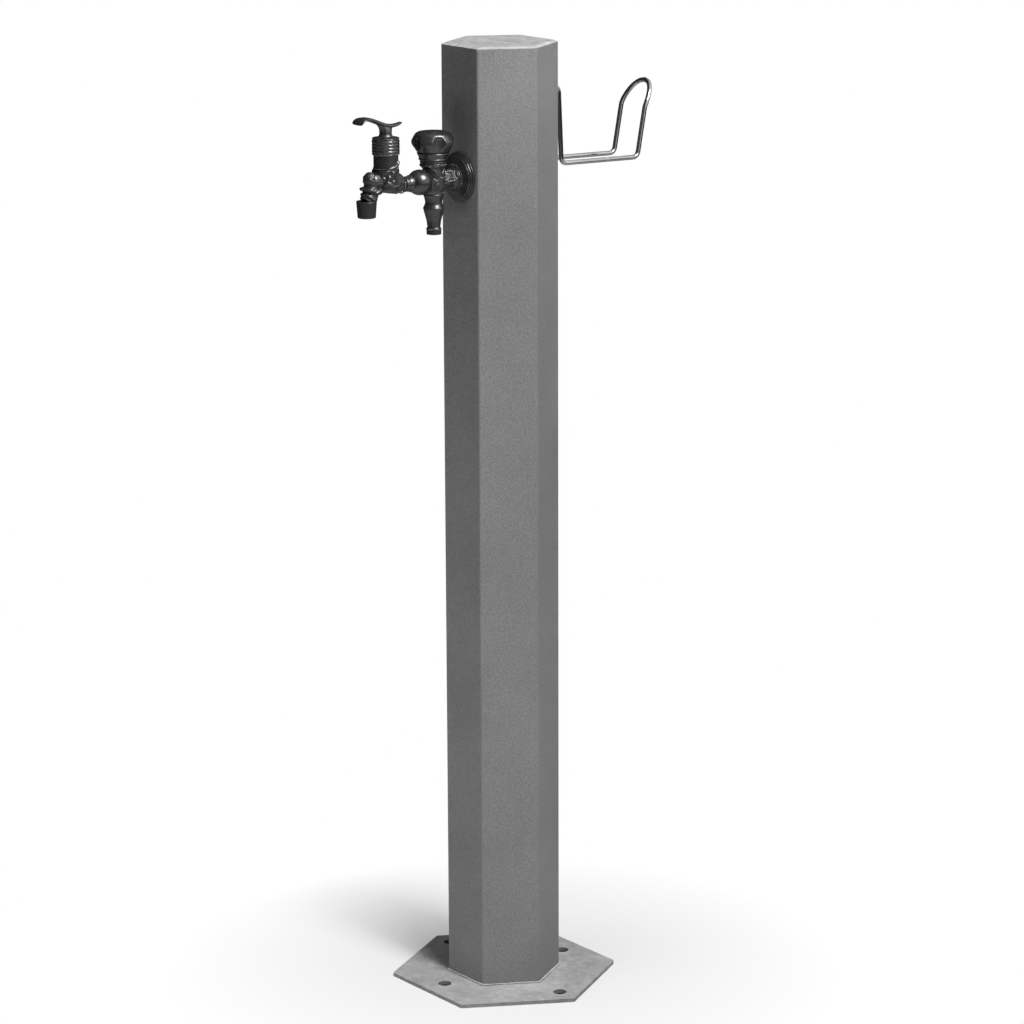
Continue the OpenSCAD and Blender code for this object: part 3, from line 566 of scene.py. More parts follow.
def weld_tree():
    """Ripples of a weld round the foot of a hexagonal post, with corners on the X axis."""
    t = Growth("Weld ripples", Side=("Float", 0.06), Corner_radius=("Float", 0.004),
               Step=("Float", 0.0015), Bead_radius=("Float", 0.0015), Seed=("Int", 4))
    outline = t.step("CurvePrimitiveCircle", Resolution=6, Radius=t.enter["Side"])
    rounded = t.step("FilletCurve", {"mode": "POLY"}, Curve=outline, Count=4,
                     Radius=t.enter["Corner radius"])
    points = t.node("GeometryNodeCurveToPoints", {"mode": "LENGTH"}, Curve=rounded,
                    Length=t.enter["Step"]).outputs
    size = t.node("FunctionNodeRandomValue", {"data_type": "FLOAT_VECTOR"}, i0=(0.85, 0.95, 0.7),
                  i1=(1.15, 1.1, 0.9), Seed=t.enter["Seed"])
    return t.done(t.beaded(points["Points"], 2, Rotation=points["Rotation"],
                           Scale=size.outputs[0]))


def grown(name, tree, place, look, **inputs):
    """Plain mesh object grown by a Geometry Nodes tree, put in place."""
    obj = object_of(name, bpy.data.meshes.new(name))
    modifier = obj.modifiers.new("growth", "NODES")
    modifier.node_group = tree
    inputs["material"] = finish_of(look)
    for item in tree.interface.items_tree:
        key = item.name.lower().replace(" ", "_")
        if key in inputs:
            modifier[item.identifier] = inputs[key]
    settle(obj)
    obj.data.transform(Matrix.Translation(place.translation * MM) @ place.to_3x3().to_4x4())
    return obj


def joined(name, objects):
    """One smooth object from several."""
    shape = bmesh.new()
    for obj in objects:
        shape.from_mesh(obj.data)
        bpy.data.objects.remove(obj)
    result = object_of(name, mesh_of(name, shape))
    result.data.shade_smooth()
    return result


# Finishes

class Effect(Tree):
    """A group of shader nodes that several finishes share."""

    def __init__(self, name, **sockets):
        super().__init__(bpy.data.node_groups.new(name, "ShaderNodeTree"))
        self.takes(Vector=("Vector",), **sockets)

    def noise(self, scale, detail, **more):
        """Noise texture at the group's place."""
        return self.node("ShaderNodeTexNoise", Vector=self.enter["Vector"], Scale=scale,
                         Detail=detail, **more).outputs

    def cells(self, place, scale):
        """Voronoi texture."""
        return self.node("ShaderNodeTexVoronoi", Vector=place, Scale=scale).outputs


def grain_group():
    """Fine grain of a cast or sprayed surface: a height and a light and dark mask."""
    t = Effect("Fine grain", Scale=("Float", 900.0), Cloud_scale=("Float", 12.0))
    fine = t.noise(t.enter["Scale"], 3.0, Roughness=0.6)[0]
    pits = t.cells(t.enter["Vector"], t.enter["Scale"])["Distance"]
    return t.gives("Float", Height=t.math("MULTIPLY_ADD", pits, -0.6, fine), Speckle=fine,
                   Cloud=t.noise(t.enter["Cloud scale"], 4.0)[0])


def spangle_group():
    """Mottled crystals of a galvanised surface, with the drift marks of the bath."""
    t = Effect("Zinc spangle", Crystal_scale=("Float", 160.0))
    bent = t.node("ShaderNodeMix", {"data_type": "VECTOR"}, i0=0.012, i4=t.enter["Vector"],
                  i5=t.noise(90.0, 3.0)["Color"])
    crystals = t.cells(bent.outputs[1], t.enter["Crystal scale"])["Color"]
    tone = t.node("ShaderNodeSeparateColor", Color=crystals).outputs
    mottle = t.noise(140.0, 5.0, Roughness=0.7)[0]
    soft = t.math("MULTIPLY_ADD", tone[0], 0.2, mottle)
    shade = t.math("MULTIPLY_ADD", t.noise(22.0, 6.0, Roughness=0.62)[0], 1.1, soft)
    return t.gives("Float", Shade=t.span(shade, 0.0, 1.0, 0.72, 1.62),
                   Gloss=t.span(tone[1], 0.3, 0.5), Height=mottle)


class Finish(Tree):
    """A material with one Principled BSDF and helpers for its own nodes."""

    def __init__(self, name):
        self.material = bpy.data.materials.new(name)
        self.material.use_nodes = True
        super().__init__(self.material.node_tree)
        self.shader = self.tree.nodes["Principled BSDF"]
        self.where = self.node("ShaderNodeTexCoord").outputs["Object"]

    def effect(self, group, **inputs):
        """Outputs of a shared effect, read from object coordinates."""
        return self.node("ShaderNodeGroup", {"node_tree": group}, Vector=self.where,
                         **inputs).outputs

    def ramp(self, value, colour, *stops):
        """Colour ramp of (position, factor) stops, each a factor of the colour."""
        node = self.node("ShaderNodeValToRGB", Fac=value)
        elements = node.color_ramp.elements
        while len(elements) < len(stops):
            elements.new(0.5)
        for element, (place, factor) in zip(elements, stops):
            element.position = place
            element.color = (*(min(1.0, c * factor) for c in colour), 1)
        return node.outputs[0]

    def gloss(self, value, low, high):
        """Roughness that follows the middle of a noise."""
        return self.span(value, low, high, 0.3, 0.7)

    def bump(self, height, strength, distance):
        """Bump from a height, in millimetres."""
        return self.node("ShaderNodeBump", Height=height, Strength=strength,
                         Distance=distance * MM).outputs[0]

    def done(self, **inputs):
        """Sets the shader's sockets and returns the material."""
        self.fill(self.shader, inputs)
        return self.material


FINISHES = {}


def make_finishes():
    """Builds every material once."""
    colours = bpy.context.scene.standpipe_colours
    grain, spangle = grain_group(), spangle_group()

    coat = Finish("Powder coat")
    fine = coat.effect(grain, Scale=700.0, Cloud_scale=9.0)
    FINISHES["coat"] = coat.done(
        Base_Color=coat.ramp(coat.math("MULTIPLY_ADD", fine["Cloud"], 0.35, fine["Speckle"]),
                             colours.coat, (0.46, 0.74), (0.68, 1), (0.9, 1.32)),
        Specular_IOR_Level=0.4, Roughness=coat.gloss(fine["Speckle"], 0.42, 0.58),
        Normal=coat.bump(fine["Height"], 0.6, 0.3))

    zinc = Finish("Galvanised steel")
    flakes = zinc.effect(spangle, Crystal_scale=150.0)
    # Faces that do not face up are darkened to half: painted shade, and in part the darker tone of
    # cut edges.
    facing = zinc.node("ShaderNodeNewGeometry").outputs["Normal"]
    upward = zinc.node("ShaderNodeSeparateXYZ", Vector=facing).outputs["Z"]
    zinc_with_painted_shade = zinc.node(
        "ShaderNodeMix", {"data_type": "RGBA", "blend_type": "MULTIPLY"}, Factor=1.0,
        i6=zinc.ramp(flakes["Shade"], colours.zinc, (0.0, 0.66), (0.5, 1), (1.0, 1.38)),
        i7=zinc.span(upward, 0.5, 1.0, 0.2, 0.6))
    FINISHES["zinc"] = zinc.done(
        Base_Color=zinc_with_painted_shade.outputs[2], Metallic=0.1, Specular_IOR_Level=0.25,
        Roughness=flakes["Gloss"], Normal=zinc.bump(flakes["Height"], 0.2, 0.2))

    black = Finish("Black lacquer")
    cast = black.effect(grain, Scale=420.0, Cloud_scale=60.0)
    # Pointiness darkens the lacquer in hollows and lightens it on crests: painted shade and painted
    # highlight.
    painted_shade_and_highlight = black.node("ShaderNodeNewGeometry").outputs["Pointiness"]
    FINISHES["black"] = black.done(
        Base_Color=black.ramp(black.span(painted_shade_and_highlight, 0.0, 1.0, 0.46, 0.56), colours.lacquer,
                              (0.0, 0.5), (0.5, 1), (1.0, 2.2)),
        Specular_IOR_Level=1.0, IOR=1.6, Roughness=black.gloss(cast["Cloud"], 0.26, 0.34),
        Normal=black.bump(cast["Height"], 0.06, 0.2))

    lacquered, metallic = {"Specular_IOR_Level": 1.0, "IOR": 1.6}, {"Metallic": 1.0}
    even, turned_metal = ((0.35, 0.85), (0.65, 1.12)), (600.0, 40.0)
    for key, name, colour, (scale, cloud), stops, mask, gloss, bump, more in (
            ("smooth_black", "Smooth black lacquer", colours.lacquer, (500.0, 45.0),
             ((0.35, 0.75), (0.65, 1.35)), "Cloud", (0.24, 0.32), (0.03, 0.2), lacquered),
            ("satin", "Satin black", colours.nozzle, (900.0, 50.0),
             ((0.35, 0.8), (0.65, 1.25)), "Speckle", (0.34, 0.46), (0.15, 0.1), {}),
            ("wire", "Bright wire", colours.wire, (260.0, 30.0),
             ((0.3, 0.85), (0.7, 1.1)), "Speckle", (0.08, 0.14), (0.02, 0.02), metallic),
            ("brass", "Machined brass", colours.brass, turned_metal,
             even, "Speckle", (0.22, 0.34), (0.08, 0.1), metallic),
            ("steel", "Stainless steel", (0.5, 0.5, 0.5), turned_metal,
             even, "Speckle", (0.25, 0.4), (0.08, 0.1), metallic),
            ("rubber", "Seal rubber", (0.02, 0.02, 0.02), turned_metal,
             even, "Speckle", (0.55, 0.7), (0.08, 0.1), {}),
            ("ceramic", "Lapped ceramic", (0.78, 0.77, 0.74), turned_metal,
             even, "Speckle", (0.08, 0.16), (0.08, 0.1), {})):
        finish = Finish(name)
        fine = finish.effect(grain, Scale=scale, Cloud_scale=cloud)
        FINISHES[key] = finish.done(
            Base_Color=finish.ramp(fine["Cloud"], colour, *stops),
            Roughness=finish.gloss(fine[mask], *gloss),
            Normal=finish.bump(fine["Height"], *bump), **more)


def finish_of(key):
    """The named material, made on the first call."""
    if not FINISHES:
        make_finishes()
    return FINISHES[key]


def paint_nodes(look, *names):
    """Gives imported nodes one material, through their slots."""
    for name in names:
        slots = NODES[name].material_slots
        if not slots:
            NODES[name].data.materials.append(finish_of(look))
        for slot in slots:
            slot.material = finish_of(look)


def seat(obj, look, node=None, body=FIXED):
    """Finishes a piece and lets it ride on its body, in place of the node that it replaces."""
    obj.data.materials.clear()
    obj.data.materials.append(finish_of(look))
    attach(obj, body)
    if node:
        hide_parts(node)


def turned(name, look, node, place, section, sides, relief=None, body=FIXED, loop=True, base=0,
           **how):
    """Piece turned on the lathe from a section over a base height, put in place and finished."""
    section = [(radius, base + height) for radius, height in section]
    seat(solid(name, moved(lathe(section, sides, relief, loop, **how), place)), look, node, body)


# The pieces

class STANDPIPE_OT_post(bpy.types.Operator):
    """Finishes the post, its plate and cap, and lays the weld round its foot"""
    bl_idname = "standpipe.post"
    bl_label = "Post, plate and cap"

    def execute(self, context):
        sizes = context.scene.standpipe_sizes
        paint_nodes("coat", "post_tube")
        paint_nodes("zinc", "base_plate", "top_cap")
        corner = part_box("post_tube")[1].x
        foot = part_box("base_plate")[1].z / MM
        weld = grown("weld_ripples", weld_tree(), Matrix.Translation((0, 0, foot + 0.5)), "zinc",
                     side=corner + 0.0014, corner_radius=0.004, step=sizes.weld_step * MM,
                     bead_radius=0.0013, seed=4)
        seat(weld, "zinc", "foot_weld")
        return {"FINISHED"}


class STANDPIPE_OT_supply(bpy.types.Operator):
    """Finishes the supply line inside the post"""
    bl_idname = "standpipe.supply"
    bl_label = "Supply line"

    def execute(self, context):
        paint_nodes("brass", "inlet_fitting", "inlet_locknut", "elbow_fitting", "tap_backnut")
        paint_nodes("steel", "foot_bridge", "riser_pipe", "backnut_washer")
        paint_nodes("rubber", "wall_gasket")
        return {"FINISHED"}


class STANDPIPE_OT_rear_valve(bpy.types.Operator):
    """Casts the rear valve's body, its bonnet, the flange and the bulb that leads to the front"""
    bl_idname = "standpipe.rear_valve"
    bl_label = "Rear valve"

    def execute(self, context):
        sizes = context.scene.standpipe_sizes
        tall, wide, drum = sizes.leaf_height, sizes.scroll_width, REAR_DRUM
        upright, inlet_end = up_at(REAR_Y), INLET_Y - REAR_Y
        ornament = highest(
            both_ways([(-56, 15.5), (-30, 11.5), (-8, 6.6), (4, 0)], (wide, 0.8), tall, drum),
            both_ways([(-88, 12), (-72, 7), (-58, 3), (-36, -1)], (wide, 0.8), tall, drum),
            both_ways([(-30, 15), (-14, 11.5), (2, 8), (14, 3)], (0.9, 0.6), tall * 0.8, drum),
            *[mirrored(leaf, *shape, tall, drum) for shape in (
                (-36, -9, 13, 10), (-70, -9, 12, 9), (40, -8, 22, 10), (6, -8, 13, 9))])
        body = lathe([(0, OUTLET_TOP), (10.3, OUTLET_TOP), (10.3, -11), (drum, -9.5), (drum, 13),
                      (13.2, 15.6), (13.4, CASTING_TOP), (0, CASTING_TOP)], 240, ornament, step=0.3)
        inlet_leaves = highest(leaves(range(0, 360, 60), 1.2, 14, 8.2, tall, 9.0, 2),
                               leaves(range(30, 390, 60), 6, 13, 5.5, tall * 0.8, 9.0, 2))
        inlet = lathe([(0, 0), (11.4, 0), (11.2, 0.6), (9.4, 2.4), (9, 3.2), (9, inlet_end),
                       (0, inlet_end)], 200, inlet_leaves, step=0.3)
        casting = solid("rear_casting", moved(body, upright), moved(inlet, out_from(INLET_Y)))
        fused(casting, sizes.cast_detail)
        bored(casting, rod(upright, 8.0, -6, 30), rod(upright, 5.0, -20, 4),
              rod(upright, 7.03, -20, -8.5), rod(out_from(INLET_Y), 6.5, -2, 18))
        seat(casting, "black", "rear_body")

        tail_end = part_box("rear_body")[1].y / MM
        tail = tail_end - INLET_Y
        turned("rear_tail", "brass", None, out_from(tail_end),
               [(6.5, 0), (9.2, 0), (9.6, 0.6), (9.6, tail), (6.5, tail)], 72, rounding=0)
        seat(grown("tail_thread", thread_tree(), out_from(tail_end - 1.2), "brass",
                   core_radius=0.0096, depth=0.00088, pitch=sizes.thread_pitch * MM,
                   turns=(tail - 2.5) / sizes.thread_pitch), "brass")

        top = 29.0
        turned("rear_bonnet_cover", "smooth_black", "rear_bonnet", upright,
               [(4.05, 6), (7.97, 6), (7.97, 18), (12.8, 18), (13.4, 18.7), (13.6, 21),
                (14.4, 21.7), (14.6, 22.6), (14.3, 23.4), (15, 25), (16.2, top - 1.6),
                (16.7, top - 0.7), (16.3, top), (4.05, top), (4.05, 26), (6, 26), (6, 24),
                (4.05, 24), (4.05, 22), (6.45, 22), (6.45, 5.9)], 200,
               highest(rope(22.4, 0.9, 0.45, 44), rope(19.4, 0.6, 0.3, 48, -1), beyond=10),
               step=0.4, rounding=0.25)
        turned("flange_cover", "smooth_black", "wall_rosette", out_from(FLANGE_Y),
               [(10.51, 0), (25.5, 0), (25.5, 1.1), (24.9, 1.7), (23.6, 1.9), (23.4, 2.9),
                (21.6, 3.2), (21.3, 4.1), (19.1, 4.7), (16.5, 5.6), (13, 7), (12.2, 7.7),
                (12.2, 8.5), (10.51, 8.5)], 160, rounding=0.35)

        ball = [(13 * math.sin(math.radians(a)), -13 * math.cos(math.radians(a)))
                for a in range(0, 151, 3)]
        bulb = lathe(ball + [(9.0, 12.0), (8.2, 13.6), (7.8, 15.6), (7.8, 20), (6, 20.5), (6, 29),
                             (0, 29)], 128, rounding=0.6)
        link = solid("bulb_casting", moved(bulb, out_from(REAR_Y - 17.5)))
        bored(link, rod(upright, 11.2, -30, 30, 96), sharp=50)
        seat(link, "smooth_black", "link_bulb")
        return {"FINISHED"}


def spout_path(control, count):
    """Path in space of a Bezier curve of (distance before the front valve, height) points that
    ends over the nozzle."""
    *bend, drop = control
    route = curve_points([*bend, (FRONT_Y - SPOUT_Y, drop)], np.linspace(0, 1, count))
    return [(0, FRONT_Y - y, TAP_Z + z) for y, z in route]


class STANDPIPE_OT_front_valve(bpy.types.Operator):
    """Casts the front valve's body with its spout, and turns its bonnet"""
    bl_idname = "standpipe.front_valve"
    bl_label = "Front valve"

    def execute(self, context):
        sizes = context.scene.standpipe_sizes
        tall, wide, drum = sizes.leaf_height, sizes.scroll_width, FRONT_DRUM
        upright, over_nozzle = up_at(FRONT_Y), up_at(SPOUT_Y)
        scrolls = highest(
            both_ways([(40, 25), (30, 22.5), (8, 20.6), (-19, 18.8), (-44, 15.7), (-60, 15.4)],
                      (1.5, wide * 2.1), tall * 1.8, drum),
            mirrored(volute, -68, 12.4, 4.0, 1.5, tall * 1.8, drum, start=60, way=-1),
            *[mirrored(boss, *shape, tall * rise, drum) for *shape, rise in (
                (1, 14.6, 2.3, 1.3), (-21, 10.0, 2.5, 1.4), (3, 5.6, 2.0, 1.2),
                (-47, 9.2, 1.9, 1.2))],
            both_ways([(-40, 3.4), (-28, 5.4), (-12, 3.6), (4, 0.6), (22, 1.4)], (1.5, 1.0),
                      tall, drum),
            mirrored(leaf, 62, 3, 15, 10, tall, drum),
            mirrored(leaf, -84, -2, 10, 8, tall, drum, 2))
        body = lathe([(0, -5), (9.5, -5), (11.1, -4.5), (12.1, -3.4), (drum, -1.8), (drum, 17),
                      (11.9, CASTING_TOP), (0, CASTING_TOP)], 260, scrolls, step=0.3)
        link_end = FRONT_Y + 18.5
        cone = lathe([(0, 0), (8.6, 0), (9.0, 0.8), (11.9, 16.2), (11.4, 17), (0, 17)], 200,
                     highest(leaves((-35, -90, 215, 25, 155, 90), 0.5, 15, 8.5, tall, 9.5, 2)),
                     step=0.3)
        rings = highest(
            rope(FIRST_RING, 3.0, 4.3, 9, 1.4), rope(SECOND_RING, 2.4, 1.8, 9, 1.4),
            [ridge([(a, FIRST_RING + 2.2), (a + 9, SECOND_RING - 1.8)], (1.2, 1.2), tall * 0.8,
                   SPOUT_R) for a in range(10, 370, 40)],
            leaves((10, 60, 120, 170), 8.5, FIRST_RING - 14, 7, tall, SPOUT_R, 2))
        spout = tube(spout_path([(0, 3), (14, 7), (22, 14), (18, 4), (17, -4), (20, -7), -13], 90),
                     SPOUT_R, 160, rings)
        lump = lathe([(6.6 * math.sin(a), -6.6 * math.cos(a))
                      for a in np.radians(range(0, 181, 4))],
                     120, highest(leaves(range(0, 360, 60), -7.5, 14, 6.4, tall, 6.6, 2)),
                     rounding=0)
        lump_place = up_at(FRONT_Y - drum - 8) @ Matrix.Translation((0, 0, 9.4)) @ tilted(60)
        casting = solid("front_casting", moved(body, upright),
                        moved(cone, up_at(link_end - 1) @ tilted(70)), spout,
                        moved(lump, lump_place))
        fused(casting, sizes.cast_detail)
        waterway = spout_path([(8, 3), (21, 6), (18, -4), (24.5, -8), -16], 24)
        bored(casting, rod(upright, 10.4, 3, 30), rod(upright, 5.4, -4.2, 10),
              rod(out_from(link_end), 4.0, -2, link_end - FRONT_Y), tube(waterway, 4.8, 48),
              rod(over_nozzle, 14.0, -30, -12))
        seat(casting, "black", "front_body")
        stub = solid("spout_spigot", rod(over_nozzle, 7.0, -19.5, -13, 96))
        bored(stub, rod(over_nozzle, 5.2, -21, -9))
        seat(stub, "black")

        base, top = CASTING_TOP, FRONT_BONNET_TOP
        ribs = [rope(z, 1.7, 0.95, 14, 1.5) for z in (35.6, 38.9, 42.2, 45.5)]
        turned("front_bonnet_cover", "black", "front_bonnet", upright,
               [(10.4, base), (12.1, base), (12.5, base + 0.8), (12.5, 31.6), (13.6, 33),
                (13.1, 33.8), (13.1, top - 0.8), (13.6, top), (6.53, top), (6.53, top - 1),
                (9.8, top - 2), (9.8, 24.4), (10.4, 24.4)], 240,
               highest(ribs, scrolls, beyond=12), step=0.3, rounding=0.25)
        neck = LEVER_NECK_R
        turned("bonnet_cap_cover", "smooth_black", "bonnet_cap", upright,
               [(4.3, 0), (13.4, 0), (13.8, 0.5), (13.6, 1.1), (12, 1.4), (9.4, 1.8),
                (neck + 1.2, 2.5), (neck + 0.4, 3.6), (neck, 5), (4.3, 5)], 128, base=top)
        return {"FINISHED"}


class STANDPIPE_OT_handles(bpy.types.Operator):
    """Shapes the rear knob with its cover and the front lever"""
    bl_idname = "standpipe.handles"
    bl_label = "Knob and lever"

    def execute(self, context):
        foot, top = span_above_axis("rear_knob")
        r = context.scene.standpipe_sizes.knob_radius
        wide = top - 8.5

        def hollows(angle, z, radius):
            """Five round hollows between the knob's lobes, on its wide part only."""
            size, depth, first, pitch = 9.0, 4.2, 52, 72
            reach = r + size - depth
            near = np.radians((angle - first + pitch / 2) % pitch - pitch / 2)
            inside = size ** 2 - (reach * np.sin(near)) ** 2
            wall = np.where(inside > 0,
                            reach * np.cos(near) - np.sqrt(np.clip(inside, 0, None)), 99)
            blend = np.clip(0.5 + (wall - radius) / 5.0, 0, 1)
            kept = wall * (1 - blend) + radius * blend - 1.2 * blend * (1 - blend)
            rise = (np.clip((z - (wide - 12)) / 5, 0, 1)
                    * np.clip((top - 0.5 - z) / 7, 0, 1))
            return np.where(radius > 9, (kept - radius) * rise * rise * (3 - 2 * rise), 0)

        turned("knob_goblet", "smooth_black", "rear_knob", up_at(REAR_Y),
               [(STEM_BORE_R, foot), (16.4, foot), (17.1, foot + 0.7), (18.7, foot + 3.3),
                (20.1, foot + 5.3), (21.4, foot + 7.3), (r, wide - 2.8), (r, wide - 0.6),
                (r - 0.9, wide + 1.4), (r - 2, wide + 3.2), (r - 3, wide + 5.2),
                (r - 4.4, wide + 6.8), (r - 6.6, top - 0.5), (11, top), (7.6, top - 0.6),
                (7, top - 0.6), (7, top - 1.8), (4, top - 1.8), (4, top - 4.5),
                (SCREW_BORE_R, top - 4.5), (SCREW_BORE_R, top - 10), (STEM_BORE_R, top - 10)],
               280, hollows, KNOB, step=0.5, rounding=0.6)
        turned("knob_cover", "smooth_black", "knob_cap", up_at(REAR_Y),
               [(0, top - 1.8), (6.97, top - 1.8), (6.97, top - 0.6), (6, top - 0.1), (0, top)],
               96, body=KNOB, loop=False)

        lever_foot = span_above_axis("front_lever")[0]
        neck_top = lever_foot + LEVER_NECK_H
        upright = up_at(FRONT_Y)
        place = upright @ Matrix.Translation((0, 0, neck_top))
        lever = solid("lever_casting",
                      *[moved(shell, place) for shell in lever_shells(lever_foot - neck_top)])
        fused(lever, 0.24, 5)
        bored(lever, rod(upright, STEM_BORE_R, lever_foot - 1, neck_top - 0.9),
              rod(upright, SCREW_BORE_R, lever_foot, 90), rod(upright, 3.6, neck_top + 1.6, 90))
        seat(lever, "smooth_black", "front_lever", LEVER)
        paint_nodes("steel", "knob_screw", "lever_screw")
        return {"FINISHED"}


def lever_shells(foot, steps=90, sides=40):
    """Fish-tail blade of the lever, fluted near its tail, and the neck under it."""
    t = np.linspace(0, 1, steps)
    spine = curve_points([(-34.8, 5.6), (-31.5, 15.4), (-16, 13.2), (-5, -0.8), (8, -0.8),
                          (19.5, 4.2)], t)
    width = curve_points([(-35.0, 7.5), (-34.3, 11.2), (-27, 9.4), (-15, 2.6), (-5, 5.4),
                          (4, 8.6), (12, 3.6), (19.5, 2.6)], np.linspace(0, 1, 400))
    half = np.interp(spine[:, 0], width[:, 0], width[:, 1])
    thick = 1.2 + 0.9 * np.sin(np.pi * t)
    ends = dome(1 - np.minimum(np.minimum(t / 0.035, (1 - t) / 0.05), 1))
    direction = directions(spine)
    phi = np.linspace(0, 2 * np.pi, sides, endpoint=False)
    x = np.sign(np.cos(phi)) * np.abs(np.cos(phi)) ** 0.85
    n = np.sign(np.sin(phi)) * np.abs(np.sin(phi)) ** 0.9
    rows = []
    for i in range(steps):
        w, h = half[i] * (0.55 + 0.45 * ends[i]), thick[i] * ends[i]
        flute = 0.35 * math.exp(-((t[i] - 0.12) / 0.14) ** 2)
        lift = h * n + flute * ends[i] * (n > 0.2) * (np.abs(np.sin(x * np.pi * 1.5)) - 0.5)
        rows.append(np.stack([x * w, spine[i, 0] - direction[i, 1] * lift,
                              spine[i, 1] + direction[i, 0] * lift], -1))
    rows = [rows[0] * 0 + rows[0].mean(0), *rows, rows[-1] * 0 + rows[-1].mean(0)]
    blade = np.concatenate(rows), grid_faces(len(rows), sides)
    return blade, lever_saddle(spine, foot)


def lever_saddle(spine, foot, sides=64):
    """Neck of the lever, whose front side sweeps out into the underside of the blade."""
    order = np.argsort(spine[:, 0])
    angle = np.linspace(0, 2 * np.pi, sides, endpoint=False)
    rows = [np.array([[0, 0, foot]] * sides)]
    for s in np.linspace(0, 1, 26):
        front, behind = LEVER_NECK_R + 8.5 * s ** 3.2, LEVER_NECK_R + 2.2 * s ** 2.4
        y = np.where(np.sin(angle) < 0, front, behind) * np.sin(angle)
        under = np.interp(y, spine[order, 0], spine[order, 1])
        rows.append(np.stack([(LEVER_NECK_R - 2.3 * s ** 2) * np.cos(angle), y,
                              foot + s * (under - foot)], -1))
    rows.append(rows[-1] * 0 + rows[-1].mean(0))
    return np.concatenate(rows), grid_faces(len(rows), sides)


class STANDPIPE_OT_outlets(bpy.types.Operator):
    """Turns the spout nozzle and the rear outlet"""
    bl_idname = "standpipe.outlets"
    bl_label = "Nozzle and rear outlet"

    def execute(self, context):
        foot, top = span_above_axis("spout_nozzle")
        low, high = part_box("spout_nozzle")
        r = (high.x - low.x) / 2 / MM
        turned("nozzle_sleeve", "satin", "spout_nozzle", up_at(SPOUT_Y),
               [(6.5, foot), (r - 1.9, foot), (r - 1.35, foot + 0.5), (r - 0.2, top - 1.2),
                (r, top - 0.8), (r - 0.5, top), (7.03, top), (7.03, top - 9.9),
                (6.5, top - 9.9)], 160, rounding=0.35)

        base, ring = OUTLET_TOP, 7.5
        tall = context.scene.standpipe_sizes.leaf_height
        flutes = highest(leaves(range(0, 360, 45), base - 33, 15, 4.4, tall * 0.55, 8.5, 2),
                         rope(base - 14.8, 1.5, 0.3, 30), rope(base - 1.2, 0.9, 0.3, 40),
                         beyond=6)
        turned("outlet_tail", "black", "rear_outlet", up_at(REAR_Y),
               [(4.5, 4.2), (7, 4.2), (7, 0), (10.25, 0), (10.25, -2), (9.4, -4.5), (8.7, -8),
                (8.9, -10.5), (10.1, -13), (10.5, -15), (10.2, -17.2), (9.2, -20), (7.9, -24),
                (6.9, -28), (6.6, -31.5), (6.7, -34.3), (ring - 0.4, -34.7), (ring, -35.1),
                (ring, -41.5), (4.5, -41.5)], 200, flutes, base=base, step=0.45, rounding=0.4)
        return {"FINISHED"}


class STANDPIPE_OT_beads(bpy.types.Operator):
    """Sets rings of cast beads on the tap"""
    bl_idname = "standpipe.beads"
    bl_label = "Bead rings"

    def execute(self, context):
        size, tree = context.scene.standpipe_sizes.bead_size, bead_ring_tree()
        rear, front = up_at(REAR_Y), up_at(FRONT_Y)
        rings = [
            (rear, 16.6, 13.2, 48), (rear, -12.0, 10.5, 40), (out_from(INLET_Y), 3.4, 9.2, 30),
            (out_from(FLANGE_Y), 6.9, 13.4, 40), (rear, OUTLET_TOP - 36.2, 7.3, 30),
            (front, 18.6, 12.3, 44), (front, 33.0, 13.3, 54),
            (out_from(FRONT_Y + 17.6), 0, 8.3, 30)]
        parts = [grown(f"beads_{i}", tree, place @ Matrix.Translation((0, 0, height)), "black",
                       ring_radius=radius * MM, beads=count, bead_radius=size * MM)
                 for i, (place, height, radius, count) in enumerate(rings)]
        seat(joined("tap_beads", parts), "black")
        return {"FINISHED"}


class STANDPIPE_OT_inner(bpy.types.Operator):
    """Finishes what works inside the two valves"""
    bl_idname = "standpipe.inner"
    bl_label = "Valve parts"

    def execute(self, context):
        paint_nodes("brass", "rear_stem", "rear_carrier", "front_cartridge", "front_stem")
        paint_nodes("rubber", "rear_o_ring", "rear_washer", "front_seal", "front_o_ring",
                    "nozzle_gasket")
        paint_nodes("ceramic", "fixed_disc", "turning_disc")
        paint_nodes("steel", "flow_mesh")
        return {"FINISHED"}


class STANDPIPE_OT_holder(bpy.types.Operator):
    """Bends the hose holder's wire, with collars where it enters the post"""
    bl_idname = "standpipe.holder"
    bl_label = "Hose holder"

    def execute(self, context):
        reach, half_gap, wire, bend, face = 176.2, 19.0, 2.5, 7, -FACE_Y
        low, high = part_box("holder_washers")
        fixing = (low.z + high.z) / 2 / MM
        limb = [(half_gap, face - 12, fixing), (half_gap, face + 9, fixing),
                (half_gap, face + 12.8, fixing - 80), (half_gap, face + 114.5, fixing - 83.3),
                (half_gap, reach, fixing - 33)]
        rise = curve_points([(reach, fixing - 33), (reach + 0.9, fixing - 28.4),
                             (192.2, fixing - 6.4)], np.linspace(0, 1, 40))
        done = travelled(rise)
        arch = half_gap * np.sqrt(np.clip(1 - (done / done[-1]) ** 2.18, 0, 1))
        run = eased(limb, bend)[:-1] + [np.array((x, y, z)) for x, (y, z) in zip(arch, rise)]
        path = run + [point * (-1, 1, 1) for point in run[-2::-1]]
        collars = [moved(lathe([(0, 0), (4.6, 0), (5, 0.4), (5, 1.6), (0, 1.6)], 48, rounding=0),
                         Matrix.Translation((x, face + 1.6, fixing)) @ tilted(90))
                   for x in (half_gap, -half_gap)]
        seat(solid("holder_wire", tube(path, wire, 48)), "wire", "hose_holder")
        seat(solid("holder_collars", *collars), "wire")
        paint_nodes("wire", "holder_washers", "holder_nuts")
        return {"FINISHED"}


